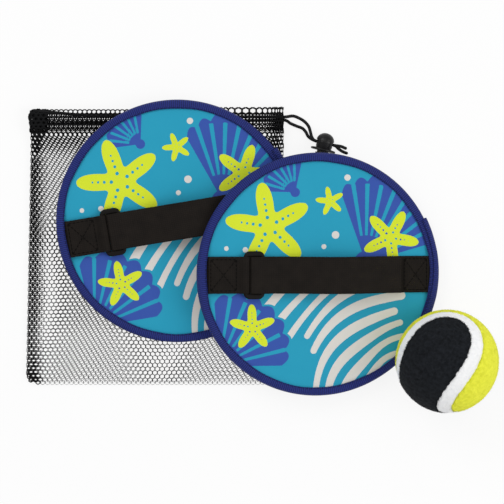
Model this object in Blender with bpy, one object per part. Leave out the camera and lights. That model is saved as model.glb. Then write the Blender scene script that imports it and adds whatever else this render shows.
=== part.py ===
"""Hook and loop catch set laid out flat: two round paddles, a felt ball and a mesh drawstring bag.

Metres, +Z up, everything rests on the plane z = 0. One paddle lies on the bag, the other leans on the
first, and the ball touches the rim of the second. Each paddle is built in a frame of its own: the
underside of its edge tape is z = 0 and its hand strap runs along X.
"""

import math

import bmesh
import bpy
import numpy as np
from mathutils import Matrix, Vector

MM = 0.001
FIT = 0.3 * MM  # air between two pieces that touch

# Paddle
PADDLE_RADIUS = 83.0 * MM
TAPE_THICKNESS = 0.8 * MM
TAPE_COVER = 6.0 * MM  # how much of each face the edge tape hides
RIM_DEPTH = 2.6 * MM  # outward bulge of the rounded rim
CATCH_FACE_THICKNESS = 1.2 * MM
CORE_THICKNESS = 1.5 * MM
NEOPRENE_THICKNESS = 2.5 * MM
NEOPRENE_ROUNDING = 0.6 * MM
DISC_SEGMENTS = 60

# Edge tape, one strip that goes once round the rim and laps over its own start
TAPE_START = math.radians(-22)
TAPE_FINISH = math.radians(360 + 27)
TAPE_CLIMB_FROM = math.radians(360 - 62)
TAPE_LAP_AIR = 0.12 * MM
TAPE_LOOSE = 0.8 * MM  # the lapped end stands this far off the rim
TAPE_LAP_NARROWING = 3.4 * MM  # and its legs reach this much less far in than those it covers
TAPE_STEPS = 76
RIM_OUTER_STEPS = 5
RIM_INNER_STEPS = 2

# Hand strap and the webbing tab that holds its ring
WEB_WIDTH = 25.0 * MM
WEB_THICKNESS = 1.2 * MM
STRAP_TUCK = 1.8 * MM  # webbing ends this far inside the stack's edge, under the tape
BOX_STITCH_LENGTH = 21.0 * MM  # flat sewn stretch at the strap's fixed end
TAB_RETURN_GAP = 1.4 * MM  # from the tab's upper end to the tape
ARCH_HEIGHT = 8.0 * MM  # room for the hand
ARCH_CLEAR_OF_RING = 8.0 * MM
HOOK_THICKNESS = 0.8 * MM
LOOP_THICKNESS = 0.8 * MM
PATCH_WIDTH = 23.5 * MM
HOOK_PATCH_LENGTH = 34.0 * MM
LOOP_PATCH_LENGTH = 72.0 * MM
STRAP_STEP = 4.0 * MM
FOLD_STEPS = 8

# Rectangular ring that the strap turns round
RING_X = -44.4 * MM
RING_LENGTH = 32.6 * MM
RING_WIDTH = 14.4 * MM
RING_WIRE = 2.6 * MM
RING_CORNER = 2.6 * MM

# Ball
BALL_RADIUS = 34.8 * MM
FELT_THICKNESS = 1.2 * MM
SEAM_WIDTH = 9.4 * MM
SEAM_RECESS = 0.3 * MM
SEAM_LOBE = 0.21  # share of the third harmonic in the ball's seam curve
SEAM_STEPS = 60
FELT_RIB_STEPS = 8
FACET_SAG = 0.5 * MM  # the felt's flat facets come this far inside its true sphere
BALL_TURN = (math.radians(84), math.radians(20.5), math.radians(-40))

# Bag
BAG_WIDTH = 177.0 * MM
BAG_HEIGHT = 190.0 * MM
NET_THICKNESS = 0.6 * MM
BAG_ROOM = 1.9 * MM  # space between the two net panels
SEAM_ALLOWANCE = 4.0 * MM
CORNER_CUT = 6.5 * MM
CHANNEL_HEIGHT = 16.0 * MM
CHANNEL_RAMP = 16.0 * MM
CHANNEL_LIP = 3.0 * MM  # stretch over which the hem comes back down to its stitch line
CHANNEL_SET_IN = 6.4 * MM  # the channel stops this short of the bag's side, where the cord turns back
NET_ROWS = 10
NET_COLUMNS = 9
NET_HOLE_SHARE = 0.8  # hole size as a share of the spacing
CORD_DIAMETER = 2.4 * MM
CORD_BEND = 4.8 * MM  # radius of the drawstring's turn at the far side of the bag

# Cord lock, in a frame of its own: Z along the plunger, towards the closed end, X along the cords
LOCK_RADIUS = 6.2 * MM
LOCK_WAIST_RADIUS = 5.3 * MM
LOCK_FLANGE_LENGTH = 17.2 * MM  # the oval flange at the mouth, along the cords
LOCK_FLANGE_THICKNESS = 1.5 * MM
LOCK_DOME = 5.6 * MM
LOCK_SKIRT = 6.9 * MM
LOCK_BARREL_END = 1.2 * MM  # the widest part ends this far below the dome's centre
LOCK_LIP = 1.0 * MM
LOCK_STATION = -1.3 * MM  # where the cords cross the lock's axis
LOCK_BORE = 4.3 * MM
LOCK_CROWN = 1.2 * MM
BUTTON_TRAVEL = 1.2 * MM
BUTTON_RADIUS = 4.0 * MM
BUTTON_HEAD_RADIUS = 4.9 * MM
BUTTON_HEAD = 2.2 * MM
BUTTON_HEAD_EDGE = 0.9 * MM
BUTTON_BRIDGE = 1.0 * MM  # bar between the cord slot and the spring
BUTTON_NECK = LOCK_SKIRT + BUTTON_TRAVEL + FIT  # from the dome's centre to the button's head
CORD_ROOM = 0.5 * MM  # air round the cords in the lock
SLOT_HALF = CORD_DIAMETER / 2 + CORD_ROOM
SLOT_WIDTH = 2 * CORD_DIAMETER + FIT + 2 * CORD_ROOM
LOCK_LEAD = LOCK_RADIUS + 0.8 * MM  # the cords run straight this far either side of the axis
SPRING_WIRE = 0.4 * MM
SPRING_RADIUS = 2.7 * MM
SPRING_TURNS = 2
LOCK_SEGMENTS = 24

# Layout, measured from the centre of the paddle that lies on the bag
BAG_CENTRE = Vector((-14.7 * MM, -17.7 * MM, 0))
SECOND_PADDLE = Vector((94.9 * MM, -36.3 * MM, 0))
FIRST_STRAP_ANGLE = math.radians(9.6)
BALL_BEARING = math.radians(-33.8)
LOCK_PLACE = Vector((101.2 * MM, 54.6 * MM, 0))
LOCK_BEARING = math.radians(76)  # where the closed end points

# Drawstring beyond the channel: points of the two free ends, from the channel's mouth to the tip
FRONT_END_ROUTE_MM = [
    (79.0, 71.9, 5.2),
    (83.2, 70.6, 3.2),
    (87.0, 68.3, 2.3),
    (89.8, 65.0, 3.0),
    (91.0, 61.3, 5.0),
    (91.9, 57.7, 6.9),
]
FRONT_TIP_ROUTE_MM = [
    (110.3, 51.3, 6.6),
    (112.6, 50.9, 4.4),
    (114.5, 50.2, 2.4),
    (116.2, 49.5, 1.5),
]
BACK_END_ROUTE_MM = [
    (77.6, 66.9, 1.8),
    (81.8, 65.1, 1.6),
    (85.6, 63.6, 1.8),
    (88.0, 61.0, 2.6),
    (89.9, 57.6, 4.0),
]
BACK_TIP_ROUTE_MM = [
    (110.1, 49.7, 3.9),
    (112.4, 48.1, 2.6),
    (114.7, 47.0, 1.7),
    (117.0, 46.3, 1.4),
]
FRONT_CORD_SETTLE = 2.8 * MM  # the front run comes this far down from its turn
FRONT_CORD_SETTLE_OVER = 30.0 * MM
FRONT_CORD_DRIFT = 1.2 * MM  # and this much further down on its way to the mouth
BACK_CORD_DRIFT = 2.4 * MM  # the back run climbs its channel by this much
CORD_POINT_SPACING = 6.2 * MM

# Worked out from the sizes above
LAYER_RADIUS = PADDLE_RADIUS - RIM_DEPTH - FIT
CATCH_BOTTOM = TAPE_THICKNESS + FIT
CORE_BOTTOM = CATCH_BOTTOM + CATCH_FACE_THICKNESS + FIT
PANEL_BOTTOM = CORE_BOTTOM + CORE_THICKNESS + FIT
PANEL_TOP = PANEL_BOTTOM + NEOPRENE_THICKNESS
PADDLE_THICKNESS = PANEL_TOP + FIT + TAPE_THICKNESS
LEG_EDGE = PADDLE_RADIUS - TAPE_COVER
WEB_LEVEL = PANEL_TOP + FIT + WEB_THICKNESS / 2
WEB_END = LAYER_RADIUS - STRAP_TUCK
FOLD_RADIUS = (WEB_THICKNESS + RING_WIRE) / 2 + FIT
RING_LEVEL = WEB_LEVEL + FOLD_RADIUS
PATCH_STACK = WEB_THICKNESS + LOOP_THICKNESS + HOOK_THICKNESS + 3 * FIT
BAR_OFFSET = (RING_WIDTH - RING_WIRE) / 2

CORD_RADIUS = CORD_DIAMETER / 2
CHANNEL_TURN = CORD_RADIUS + FIT + NET_THICKNESS / 2
BACK_NET_LEVEL = NET_THICKNESS / 2
BACK_CORD_LEVEL = BACK_NET_LEVEL + CHANNEL_TURN
FRONT_NET_LEVEL = BACK_NET_LEVEL + NET_THICKNESS + BAG_ROOM
FRONT_NET_TOP = FRONT_NET_LEVEL + NET_THICKNESS / 2
FRONT_HEM_LEVEL = BACK_NET_LEVEL + 2 * CHANNEL_TURN + NET_THICKNESS + FIT
FRONT_CORD_LEVEL = FRONT_HEM_LEVEL + CHANNEL_TURN
CHANNEL_TOP = FRONT_CORD_LEVEL + CHANNEL_TURN + NET_THICKNESS / 2
CORD_LINE = BAG_HEIGHT / 2 - CHANNEL_TURN - NET_THICKNESS / 2


def clear_scene():
    for old in list(bpy.data.objects):
        bpy.data.objects.remove(old, do_unlink=True)


def finish_material(name, colour, roughness, metallic=0.0):
    """A Principled material with a linear base colour."""
    material = bpy.data.materials.new(name)
    material.use_nodes = True
    shader = material.node_tree.nodes["Principled BSDF"]
    shader.inputs["Base Color"].default_value = (*colour, 1.0)
    shader.inputs["Roughness"].default_value = roughness
    shader.inputs["Metallic"].default_value = metallic
    material.diffuse_color = (*colour, 1.0)
    return material


def new_mesh(name, bm, smooth_below=math.radians(35)):
    """The bmesh as a mesh with its faces outwards, smooth where it turns gently."""
    bmesh.ops.recalc_face_normals(bm, faces=bm.faces)
    mesh = bpy.data.meshes.new(name)
    bm.to_mesh(mesh)
    bm.free()
    mesh.shade_smooth()
    mesh.set_sharp_from_angle(angle=smooth_below)
    return mesh


def place(name, data, material, parent, matrix=None):
    """A named object that shows this data under its parent."""
    if not data.materials:
        data.materials.append(material)
    piece = bpy.data.objects.new(name, data)
    bpy.context.scene.collection.objects.link(piece)
    piece.parent = parent
    if matrix is not None:
        piece.matrix_local = matrix
    return piece


def place_empty(name, parent, matrix):
    empty = bpy.data.objects.new(name, None)
    bpy.context.scene.collection.objects.link(empty)
    empty.parent = parent
    empty.matrix_local = matrix
    return empty


def lofted(rings, close_rings, capped):
    """A bmesh skinned over a row of rings of points; close_rings joins the last ring to the first."""
    bm = bmesh.new()
    rows = [[bm.verts.new(point) for point in ring] for ring in rings]
    steps = len(rows) if close_rings else len(rows) - 1
    around = len(rows[0])
    for i in range(steps):
        here, after = rows[i], rows[(i + 1) % len(rows)]
        for j in range(around):
            k = (j + 1) % around
            bm.faces.new((here[j], here[k], after[k], after[j]))
    if capped:
        bm.faces.new(rows[0])
        bm.faces.new(rows[-1])
    return bm


def turned(profile, segments):
    """A bmesh turned about Z from (radius, height) points that start and end on the axis."""
    bm = bmesh.new()
    verts = [bm.verts.new((radius, 0, height)) for radius, height in profile]
    edges = [bm.edges.new(pair) for pair in zip(verts, verts[1:])]
    bmesh.ops.spin(
        bm,
        geom=verts + edges,
        cent=(0, 0, 0),
        axis=(0, 0, 1),
        angle=2 * math.pi,
        steps=segments,
        use_merge=True,
    )
    bmesh.ops.remove_doubles(bm, verts=bm.verts, dist=0.00001)
    return bm


def arc(centre, radius, start_deg, end_deg, steps):
    """Points of an arc, both ends included."""
    angles = np.radians(np.linspace(start_deg, end_deg, steps + 1))
    return [
        (centre[0] + radius * math.cos(a), centre[1] + radius * math.sin(a))
        for a in angles
    ]


def strip(path, thickness, width):
    """A bmesh of a folded band: the path runs in the XZ plane and the band is as wide as width along Y."""
    points = np.array(path)
    runs = np.gradient(points, axis=0)
    runs /= np.linalg.norm(runs, axis=1)[:, None]
    sideways = np.stack([-runs[:, 1], runs[:, 0]], axis=1) * thickness / 2
    rings = []
    for low, high in zip(points - sideways, points + sideways):
        rings.append(
            [
                (low[0], -width / 2, low[1]),
                (low[0], width / 2, low[1]),
                (high[0], width / 2, high[1]),
                (high[0], -width / 2, high[1]),
            ]
        )
    return lofted(rings, close_rings=False, capped=True)


def smooth_step(share):
    share = min(1.0, max(0.0, share))
    return share * share * (3 - 2 * share)


def smooth_curve(points, spacing):
    """Evenly spaced points of a Catmull-Rom curve through the given points."""
    knots = [2 * points[0] - points[1], *points, 2 * points[-1] - points[-2]]
    dense = []
    for a, b, c, d in zip(knots, knots[1:], knots[2:], knots[3:]):
        for t in np.linspace(0, 1, 16, endpoint=False):
            dense.append(
                0.5
                * (
                    2 * b
                    + (c - a) * t
                    + (2 * a - 5 * b + 4 * c - d) * t**2
                    + (3 * b - 3 * c + d - a) * t**3
                )
            )
    dense.append(points[-1])
    line = np.array(dense)
    walked = np.concatenate(
        [[0], np.cumsum(np.linalg.norm(np.diff(line, axis=0), axis=1))]
    )
    stops = np.linspace(0, walked[-1], max(2, round(walked[-1] / spacing) + 1))
    return np.stack([np.interp(stops, walked, line[:, k]) for k in range(3)], axis=1)


def cut(piece, bm, name):
    """Takes the closed bmesh away from the piece with a Boolean."""
    tool = bpy.data.objects.new(name, new_mesh(name, bm))
    bpy.context.scene.collection.objects.link(tool)
    tool.parent = piece.parent
    tool.matrix_local = piece.matrix_local.copy()
    tool.hide_render = True
    tool.display_type = "WIRE"
    boolean = piece.modifiers.new(name, "BOOLEAN")
    boolean.operation = "DIFFERENCE"
    boolean.solver = "EXACT"
    boolean.object = tool


# Paddle pieces


def disc_mesh(name, bottom, thickness, rounding=0.0):
    """A flat round layer of the paddle; rounding softens its upper edge."""
    top = bottom + thickness
    profile = [(0, bottom), (LAYER_RADIUS, bottom)]
    if rounding:
        profile += arc((LAYER_RADIUS - rounding, top - rounding), rounding, 0, 90, 3)
    else:
        profile.append((LAYER_RADIUS, top))
    profile.append((0, top))
    return new_mesh(name, turned(profile, DISC_SEGMENTS))


def tape_lap(angle):
    """How far the strip stands off the bare rim at this angle along it."""
    single = TAPE_THICKNESS + TAPE_LAP_AIR
    lap_from = TAPE_START + 2 * math.pi
    climb = smooth_step((angle - TAPE_CLIMB_FROM) / (lap_from - TAPE_CLIMB_FROM))
    loose = max(0.0, (angle - lap_from) / (TAPE_FINISH - lap_from))
    return single * climb, TAPE_LOOSE * loose


def strap_lift(angle):
    """How far the webbing's tucked ends push the tape's upper leg up, at this angle round the rim."""
    across = abs(math.sin(angle)) * LEG_EDGE
    fade = 9 * MM
    return (WEB_THICKNESS + FIT) * (
        1 - smooth_step((across - WEB_WIDTH / 2 - FIT) / fade)
    )


def tape_points():
    """The edge tape's cross-sections in the paddle's frame, one ring of points for each step."""
    half = PADDLE_THICKNESS / 2
    rings = []
    for angle in np.linspace(TAPE_START, TAPE_FINISH, TAPE_STEPS + 1):
        lap, loose = tape_lap(angle)
        lift = strap_lift(angle)
        section = []
        for inset, steps in ((0.0, RIM_OUTER_STEPS), (TAPE_THICKNESS, RIM_INNER_STEPS)):
            reach = RIM_DEPTH - inset + lap + loose
            tall = half - inset + lap
            edge = LEG_EDGE + lap + TAPE_LAP_NARROWING * loose / TAPE_LOOSE
            bend = PADDLE_RADIUS - RIM_DEPTH
            turn = np.radians(np.linspace(90, -90, steps + 1))
            side = [(edge, half + tall)]
            side += [
                (bend + reach * math.cos(t), half + tall * math.sin(t)) for t in turn
            ]
            side.append((edge, half - tall))
            section += side if inset == 0.0 else side[::-1]
        ring = []
        for out, up in section:
            raised = up + lift * smooth_step((up - half) / (half - TAPE_THICKNESS))
            ring.append((out * math.cos(angle), out * math.sin(angle), raised))
        rings.append(ring)
    return np.array(rings)


def arch(x):
    """Height of the hand strap's bow above its sewn level."""
    start = RING_X + RING_WIDTH / 2 + ARCH_CLEAR_OF_RING
    finish = WEB_END - BOX_STITCH_LENGTH
    share = (x - start) / (finish - start)
    if not 0 < share < 1:
        return 0.0
    return ARCH_HEIGHT * (1 - math.cos(2 * math.pi * share)) / 2


def layer_gap(x):
    """Distance between the strap's two layers: the fold at the ring, then the closed hook and loop."""
    near = RING_X + RING_WIDTH / 2
    blend = smooth_step((x - near) / (2 * ARCH_CLEAR_OF_RING))
    return 2 * FOLD_RADIUS + (PATCH_STACK - 2 * FOLD_RADIUS) * blend


def lower_strap(x):
    return WEB_LEVEL + arch(x)


def upper_strap(x):
    return lower_strap(x) + layer_gap(x)


def along(start, finish, height):
    """Points (x, height(x)) at even steps between two stations."""
    steps = max(2, round(abs(finish - start) / STRAP_STEP))
    return [(x, height(x)) for x in np.linspace(start, finish, steps + 1)]


def strap_free_end():
    return WEB_END - BOX_STITCH_LENGTH - FIT


def strap_path():
    """The hand strap's centre line, from its sewn end round the ring's near bar and back to its free end."""
    tab_edge = RING_X - BAR_OFFSET + RING_WIRE / 2 + FIT + WEB_THICKNESS
    turn = tab_edge + FIT + WEB_THICKNESS / 2 + FOLD_RADIUS
    lower = along(WEB_END, turn, lower_strap)
    fold = arc((turn, RING_LEVEL), FOLD_RADIUS, -90, -270, FOLD_STEPS)
    upper = along(turn, strap_free_end(), upper_strap)
    return lower[:-1] + fold + upper[1:]


def tab_path():
    """The short webbing tab's centre line: out from under the tape, round the ring's far bar and back."""
    bar = RING_X - BAR_OFFSET
    back_end = -(LEG_EDGE - TAB_RETURN_GAP)
    rest = WEB_LEVEL + WEB_THICKNESS + FIT

    def upper(x):
        return rest + (RING_LEVEL + FOLD_RADIUS - rest) * smooth_step(
            (x - bar + 2 * RING_WIRE) / (2 * RING_WIRE)
        )

    lower = along(-WEB_END, bar, lambda x: WEB_LEVEL)
    fold = arc((bar, RING_LEVEL), FOLD_RADIUS, -90, 90, FOLD_STEPS)
    return lower[:-1] + fold + along(bar, back_end, upper)[1:]


def ring_curve(name):
    """The rectangular ring as a closed round-cornered wire."""
    corner = RING_CORNER
    x = RING_WIDTH / 2 - RING_WIRE / 2 - corner
    y = RING_LENGTH / 2 - RING_WIRE / 2 - corner
    points = []
    for cx, cy, start in ((x, y, 0), (-x, y, 90), (-x, -y, 180), (x, -y, 270)):
        points += arc((cx, cy), corner, start, start + 90, 4)
    curve = bpy.data.curves.new(name, "CURVE")
    curve.dimensions = "3D"
    curve.bevel_depth = RING_WIRE / 2
    curve.bevel_resolution = 2
    spline = curve.splines.new("POLY")
    spline.points.add(len(points) - 1)
    for control, (px, py) in zip(spline.points, points):
        control.co = (px, py, 0, 1)
    spline.use_cyclic_u = True
    return curve


def paddle_meshes():
    """Every piece of a paddle as {piece name: (data, material name, matrix or None)}."""
    strap = strip(strap_path(), WEB_THICKNESS, WEB_WIDTH)
    tab = strip(tab_path(), WEB_THICKNESS, WEB_WIDTH)
    loop_lift = (WEB_THICKNESS + LOOP_THICKNESS) / 2 + FIT
    hook_drop = (WEB_THICKNESS + HOOK_THICKNESS) / 2 + FIT
    free_end = strap_free_end()
    loop_path = along(
        free_end - LOOP_PATCH_LENGTH, free_end, lambda x: lower_strap(x) + loop_lift
    )
    hook_path = along(
        free_end - HOOK_PATCH_LENGTH, free_end, lambda x: upper_strap(x) - hook_drop
    )
    tape = lofted(tape_points(), close_rings=False, capped=True)
    ring_place = Matrix.Translation((RING_X, 0, RING_LEVEL))
    return {
        "catch_face": (
            disc_mesh("catch_face", CATCH_BOTTOM, CATCH_FACE_THICKNESS),
            "loop_fabric",
            None,
        ),
        "core_board": (
            disc_mesh("core_board", CORE_BOTTOM, CORE_THICKNESS),
            "board",
            None,
        ),
        "front_panel": (
            disc_mesh(
                "front_panel", PANEL_BOTTOM, NEOPRENE_THICKNESS, NEOPRENE_ROUNDING
            ),
            "neoprene",
            None,
        ),
        "edge_tape": (new_mesh("edge_tape", tape), "tape", None),
        "anchor_tab": (new_mesh("anchor_tab", tab), "webbing", None),
        "strap_ring": (ring_curve("strap_ring"), "black_plastic", ring_place),
        "hand_strap": (new_mesh("hand_strap", strap), "webbing", None),
        "strap_loop_patch": (
            new_mesh("loop_patch", strip(loop_path, LOOP_THICKNESS, PATCH_WIDTH)),
            "loop_tape",
            None,
        ),
        "strap_hook_patch": (
            new_mesh("hook_patch", strip(hook_path, HOOK_THICKNESS, PATCH_WIDTH)),
            "hook_tape",
            None,
        ),
    }


# Where the paddles lie


def settled(outline, centre, downhill, base, supports, turn):
    """The matrix of a paddle that rests on the base at its downhill rim and on the highest support."""
    axis = Vector((-downhill.y, downhill.x, 0))
    spin = Matrix.Rotation(turn, 4, "Z")
    flat = outline.reshape(-1, 3)
    behind = [(centre - Vector((*p[:2], 0))) @ downhill for p in supports]

    def pose(lean):
        tilt = Matrix.Rotation(lean, 4, axis) @ spin
        low = (flat @ np.array(tilt.to_3x3()).T)[:, 2].min()
        return Matrix.Translation((centre.x, centre.y, base - low)) @ tilt

    low_lean, high_lean = 0.0, math.radians(30)
    for _ in range(40):
        lean = (low_lean + high_lean) / 2
        height = pose(lean).translation.z
        clear = all(
            height + back * math.tan(lean) >= point[2] + FIT
            for back, point in zip(behind, supports)
        )
        if clear:
            high_lean = lean
        else:
            low_lean = lean
    return pose(high_lean)


def moved(matrix, points):
    m = np.array(matrix)
    return np.asarray(points).reshape(-1, 3) @ m[:3, :3].T + m[:3, 3]


def strap_top_points():
    """Points on the upper face of the strap and tab, along both edges."""
    points = []
    for x, z in strap_path() + tab_path():
        for y in (-WEB_WIDTH / 2, 0, WEB_WIDTH / 2):
            points.append((x, y, z + WEB_THICKNESS / 2))
    return points


def within(points, centre, radius):
    plan = points[:, :2] - np.array(centre[:2])
    return points[np.linalg.norm(plan, axis=1) < radius]


def first_paddle_pose(outline):
    stitch = BAG_HEIGHT / 2 - CHANNEL_HEIGHT
    supports = []
    for y in (stitch + CHANNEL_LIP, CORD_LINE):
        supports.append((0, BAG_CENTRE.y + y, CHANNEL_TOP))
    return settled(
        outline,
        Vector((0, 0, 0)),
        Vector((0, -1, 0)),
        FRONT_NET_TOP + FIT,
        supports,
        FIRST_STRAP_ANGLE,
    )


def second_paddle_pose(outline, first_pose):
    reach = PADDLE_RADIUS + TAPE_THICKNESS + TAPE_LOOSE
    under = np.concatenate(
        [moved(first_pose, outline), moved(first_pose, strap_top_points())]
    )
    return settled(
        outline,
        SECOND_PADDLE,
        SECOND_PADDLE.normalized(),
        0.0,
        within(under, SECOND_PADDLE, reach),
        0.0,
    )


def ball_centre(outline, pose):
    """Where the ball rests on the floor against the second paddle's rim, on its bearing."""
    centre = pose.translation
    away = np.array([math.cos(BALL_BEARING), math.sin(BALL_BEARING)])
    aside = np.array([-away[1], away[0]])
    rim = moved(pose, outline)
    plan = rim[:, :2] - np.array(centre[:2])
    room = (BALL_RADIUS + FIT) ** 2 - (plan @ aside) ** 2 - (BALL_RADIUS - rim[:, 2]) ** 2
    ahead = plan @ away
    touching = (room > 0) & (ahead > 0)
    distance = (ahead[touching] + np.sqrt(room[touching])).max()
    spot = np.array(centre[:2]) + away * distance
    return Vector((*spot, BALL_RADIUS))


# Ball pieces


def seam_line(t):
    """A point of the ball's closed seam on the unit sphere, and its direction there."""
    a, b = 1 - SEAM_LOBE, SEAM_LOBE
    c = 2 * math.sqrt(a * b)
    point = Vector(
        (
            a * math.cos(t) + b * math.cos(3 * t),
            a * math.sin(t) - b * math.sin(3 * t),
            c * math.sin(2 * t),
        )
    )
    run = Vector(
        (
            -a * math.sin(t) - 3 * b * math.sin(3 * t),
            a * math.cos(t) - 3 * b * math.cos(3 * t),
            2 * c * math.cos(2 * t),
        )
    )
    return point.normalized(), run.normalized()


def beside_seam(t, offset):
    """A unit vector beside the seam, offset along the sphere; positive is on the side of +Z."""
    point, run = seam_line(t)
    angle = offset / BALL_RADIUS
    return (point * math.cos(angle) + point.cross(run) * math.sin(angle)).normalized()


def felt_panel_mesh(name, side):
    """One dumbbell of felt, skinned from tip to tip over arcs that cross it from border to border."""
    edge = side * (SEAM_WIDTH + FIT) / 2
    first_tip = math.pi / 2 + side * math.pi / 4
    half = SEAM_STEPS // 2
    bm = bmesh.new()
    layers = []
    for radius in (BALL_RADIUS, BALL_RADIUS - FELT_THICKNESS):
        rows = [[bm.verts.new(beside_seam(first_tip, edge) * radius)]]
        for rib in range(1, half):
            turn = math.pi * rib / half
            left = beside_seam(first_tip - turn, edge)
            right = beside_seam(first_tip + turn, edge)
            rows.append(
                [
                    bm.verts.new(left.slerp(right, k / FELT_RIB_STEPS) * radius)
                    for k in range(FELT_RIB_STEPS + 1)
                ]
            )
        rows.append([bm.verts.new(beside_seam(first_tip + math.pi, edge) * radius)])
        layers.append(rows)
        for here, after in zip(rows, rows[1:]):
            for k in range(FELT_RIB_STEPS):
                corners = [here[k % len(here)], after[k % len(after)]]
                if len(after) > 1:
                    corners.append(after[k + 1])
                if len(here) > 1:
                    corners.append(here[k + 1])
                bm.faces.new(corners)
    outer, inner = (
        [rows[0][0]]
        + [row[-1] for row in rows[1:-1]]
        + [rows[-1][0]]
        + [row[0] for row in reversed(rows[1:-1])]
        for rows in layers
    )
    for j in range(len(outer)):
        k = (j + 1) % len(outer)
        bm.faces.new((outer[j], outer[k], inner[k], inner[j]))
    return new_mesh(name, bm)


def seam_mesh(name):
    """The raised band along the seam."""
    half = SEAM_WIDTH / 2 - FIT / 2
    inner, outer = BALL_RADIUS - FELT_THICKNESS, BALL_RADIUS - SEAM_RECESS
    rings = []
    for t in np.linspace(0, 2 * math.pi, SEAM_STEPS, endpoint=False):
        left, middle, right = (beside_seam(t, w) for w in (-half, 0, half))
        rings.append(
            [
                left * outer,
                middle * outer,
                right * outer,
                right * inner,
                middle * inner,
                left * inner,
            ]
        )
    return new_mesh(name, lofted(rings, close_rings=True, capped=False))


def ball_core_mesh(name):
    bm = bmesh.new()
    bmesh.ops.create_uvsphere(
        bm,
        u_segments=24,
        v_segments=14,
        radius=BALL_RADIUS - FELT_THICKNESS - FACET_SAG - FIT,
    )
    return new_mesh(name, bm, math.radians(60))


# Bag pieces, in a frame centred on the bag


def bag_outline(inset):
    """Corners of the bag below its channel, with the two lower corners cut off."""
    x = BAG_WIDTH / 2 - inset
    low = -BAG_HEIGHT / 2 + inset
    high = BAG_HEIGHT / 2 - CHANNEL_HEIGHT - CHANNEL_RAMP
    c = CORNER_CUT
    return [
        (-x, high),
        (-x, low + c),
        (-x + c, low),
        (x - c, low),
        (x, low + c),
        (x, high),
    ]


def hem_path(level, ramp_from, ramp_to):
    """Centre line of a net panel in the YZ plane: up the bag, round the cord and back to the stitch line."""
    stitch = BAG_HEIGHT / 2 - CHANNEL_HEIGHT
    low = -BAG_HEIGHT / 2

    def rise(y):
        share = (y - ramp_from) / (ramp_to - ramp_from)
        return FRONT_NET_LEVEL + (level - FRONT_NET_LEVEL) * smooth_step(share)

    if level > FRONT_NET_LEVEL:
        path = [(low, rise(low))]
        path += [(y, rise(y)) for y in np.linspace(ramp_from, ramp_to, 7)]
    else:
        path = [(low, level), (stitch, level)]
    path += arc((CORD_LINE, level + CHANNEL_TURN), CHANNEL_TURN, -90, 90, 8)
    path.append((stitch + CHANNEL_LIP, level + 2 * CHANNEL_TURN))
    path.append((stitch, level + NET_THICKNESS + FIT))
    return path


def net_panel_mesh(name, path):
    """A net panel folded over at its mouth; the strip runs along Y and is as wide as the bag."""
    bm = strip(path, NET_THICKNESS, BAG_WIDTH)
    bmesh.ops.rotate(
        bm, verts=bm.verts, matrix=Matrix.Rotation(math.radians(90), 3, "Z")
    )
    return new_mesh(name, bm)


def corner_cutter():
    """Prisms that take off the panel's lower corners and the end of its channel where the cord turns."""
    bm = bmesh.new()
    tall = 2 * CHANNEL_TOP
    margin = 2 * MM
    low, c = -BAG_HEIGHT / 2, CORNER_CUT
    outlines = []
    for side in (-1, 1):
        x = side * BAG_WIDTH / 2
        outlines.append(
            [
                (x + side * margin, low - margin),
                (x + side * margin, low + c + margin),
                (x - side * (c + margin), low - margin),
            ]
        )
    stitch, x = BAG_HEIGHT / 2 - CHANNEL_HEIGHT - margin, -BAG_WIDTH / 2
    top, inner = BAG_HEIGHT / 2 + margin, x + CHANNEL_SET_IN
    outlines.append(
        [(x - margin, stitch), (inner, stitch), (inner, top), (x - margin, top)]
    )
    for outline in outlines:
        verts = [bm.verts.new((px, py, -tall)) for px, py in outline]
        face = bm.faces.new(verts)
        made = bmesh.ops.extrude_face_region(bm, geom=[face])["geom"]
        top = [v for v in made if isinstance(v, bmesh.types.BMVert)]
        bmesh.ops.translate(bm, verts=top, vec=(0, 0, 2 * tall))
    return bm


def net_cutter():
    """Staggered hexagonal prisms, one for each gap of the net."""
    bm = bmesh.new()
    margin = SEAM_ALLOWANCE + 2 * MM
    width = BAG_WIDTH - 2 * margin
    low = -BAG_HEIGHT / 2 + margin
    high = BAG_HEIGHT / 2 - CHANNEL_HEIGHT - CHANNEL_RAMP
    step_x, step_y = width / (NET_COLUMNS + 0.5), (high - low) / NET_ROWS
    radius = NET_HOLE_SHARE * min(step_x, step_y) / math.sqrt(3) * 1.08
    for row in range(NET_ROWS):
        for column in range(NET_COLUMNS):
            x = -width / 2 + step_x * (column + 0.5 + 0.5 * (row % 2))
            y = low + step_y * (row + 0.5)
            bmesh.ops.create_cone(
                bm,
                cap_ends=True,
                segments=6,
                radius1=radius,
                radius2=radius,
                depth=4 * NET_THICKNESS,
                matrix=Matrix.Translation((x, y, FRONT_NET_LEVEL)),
            )
    return bm


def bag_seam_mesh(name):
    """The sewn allowance between the two panels, round both sides and the bottom."""
    bottom = BACK_NET_LEVEL + NET_THICKNESS / 2 + FIT
    top = FRONT_NET_LEVEL - NET_THICKNESS / 2 - FIT
    rings = [
        [(*outer, bottom), (*inner, bottom), (*inner, top), (*outer, top)]
        for outer, inner in zip(bag_outline(0.5 * MM), bag_outline(SEAM_ALLOWANCE))
    ]
    return new_mesh(name, lofted(rings, close_rings=False, capped=True))


# Drawstring and cord lock


def lock_pose():
    """The lock lies level on its barrel."""
    axis = Vector((math.cos(LOCK_BEARING), math.sin(LOCK_BEARING), 0))
    cords = Vector((axis.y, -axis.x, 0))
    turn = Matrix((cords, axis.cross(cords), axis)).transposed().to_4x4()
    return Matrix.Translation(LOCK_PLACE + Vector((0, 0, LOCK_RADIUS))) @ turn


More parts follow.
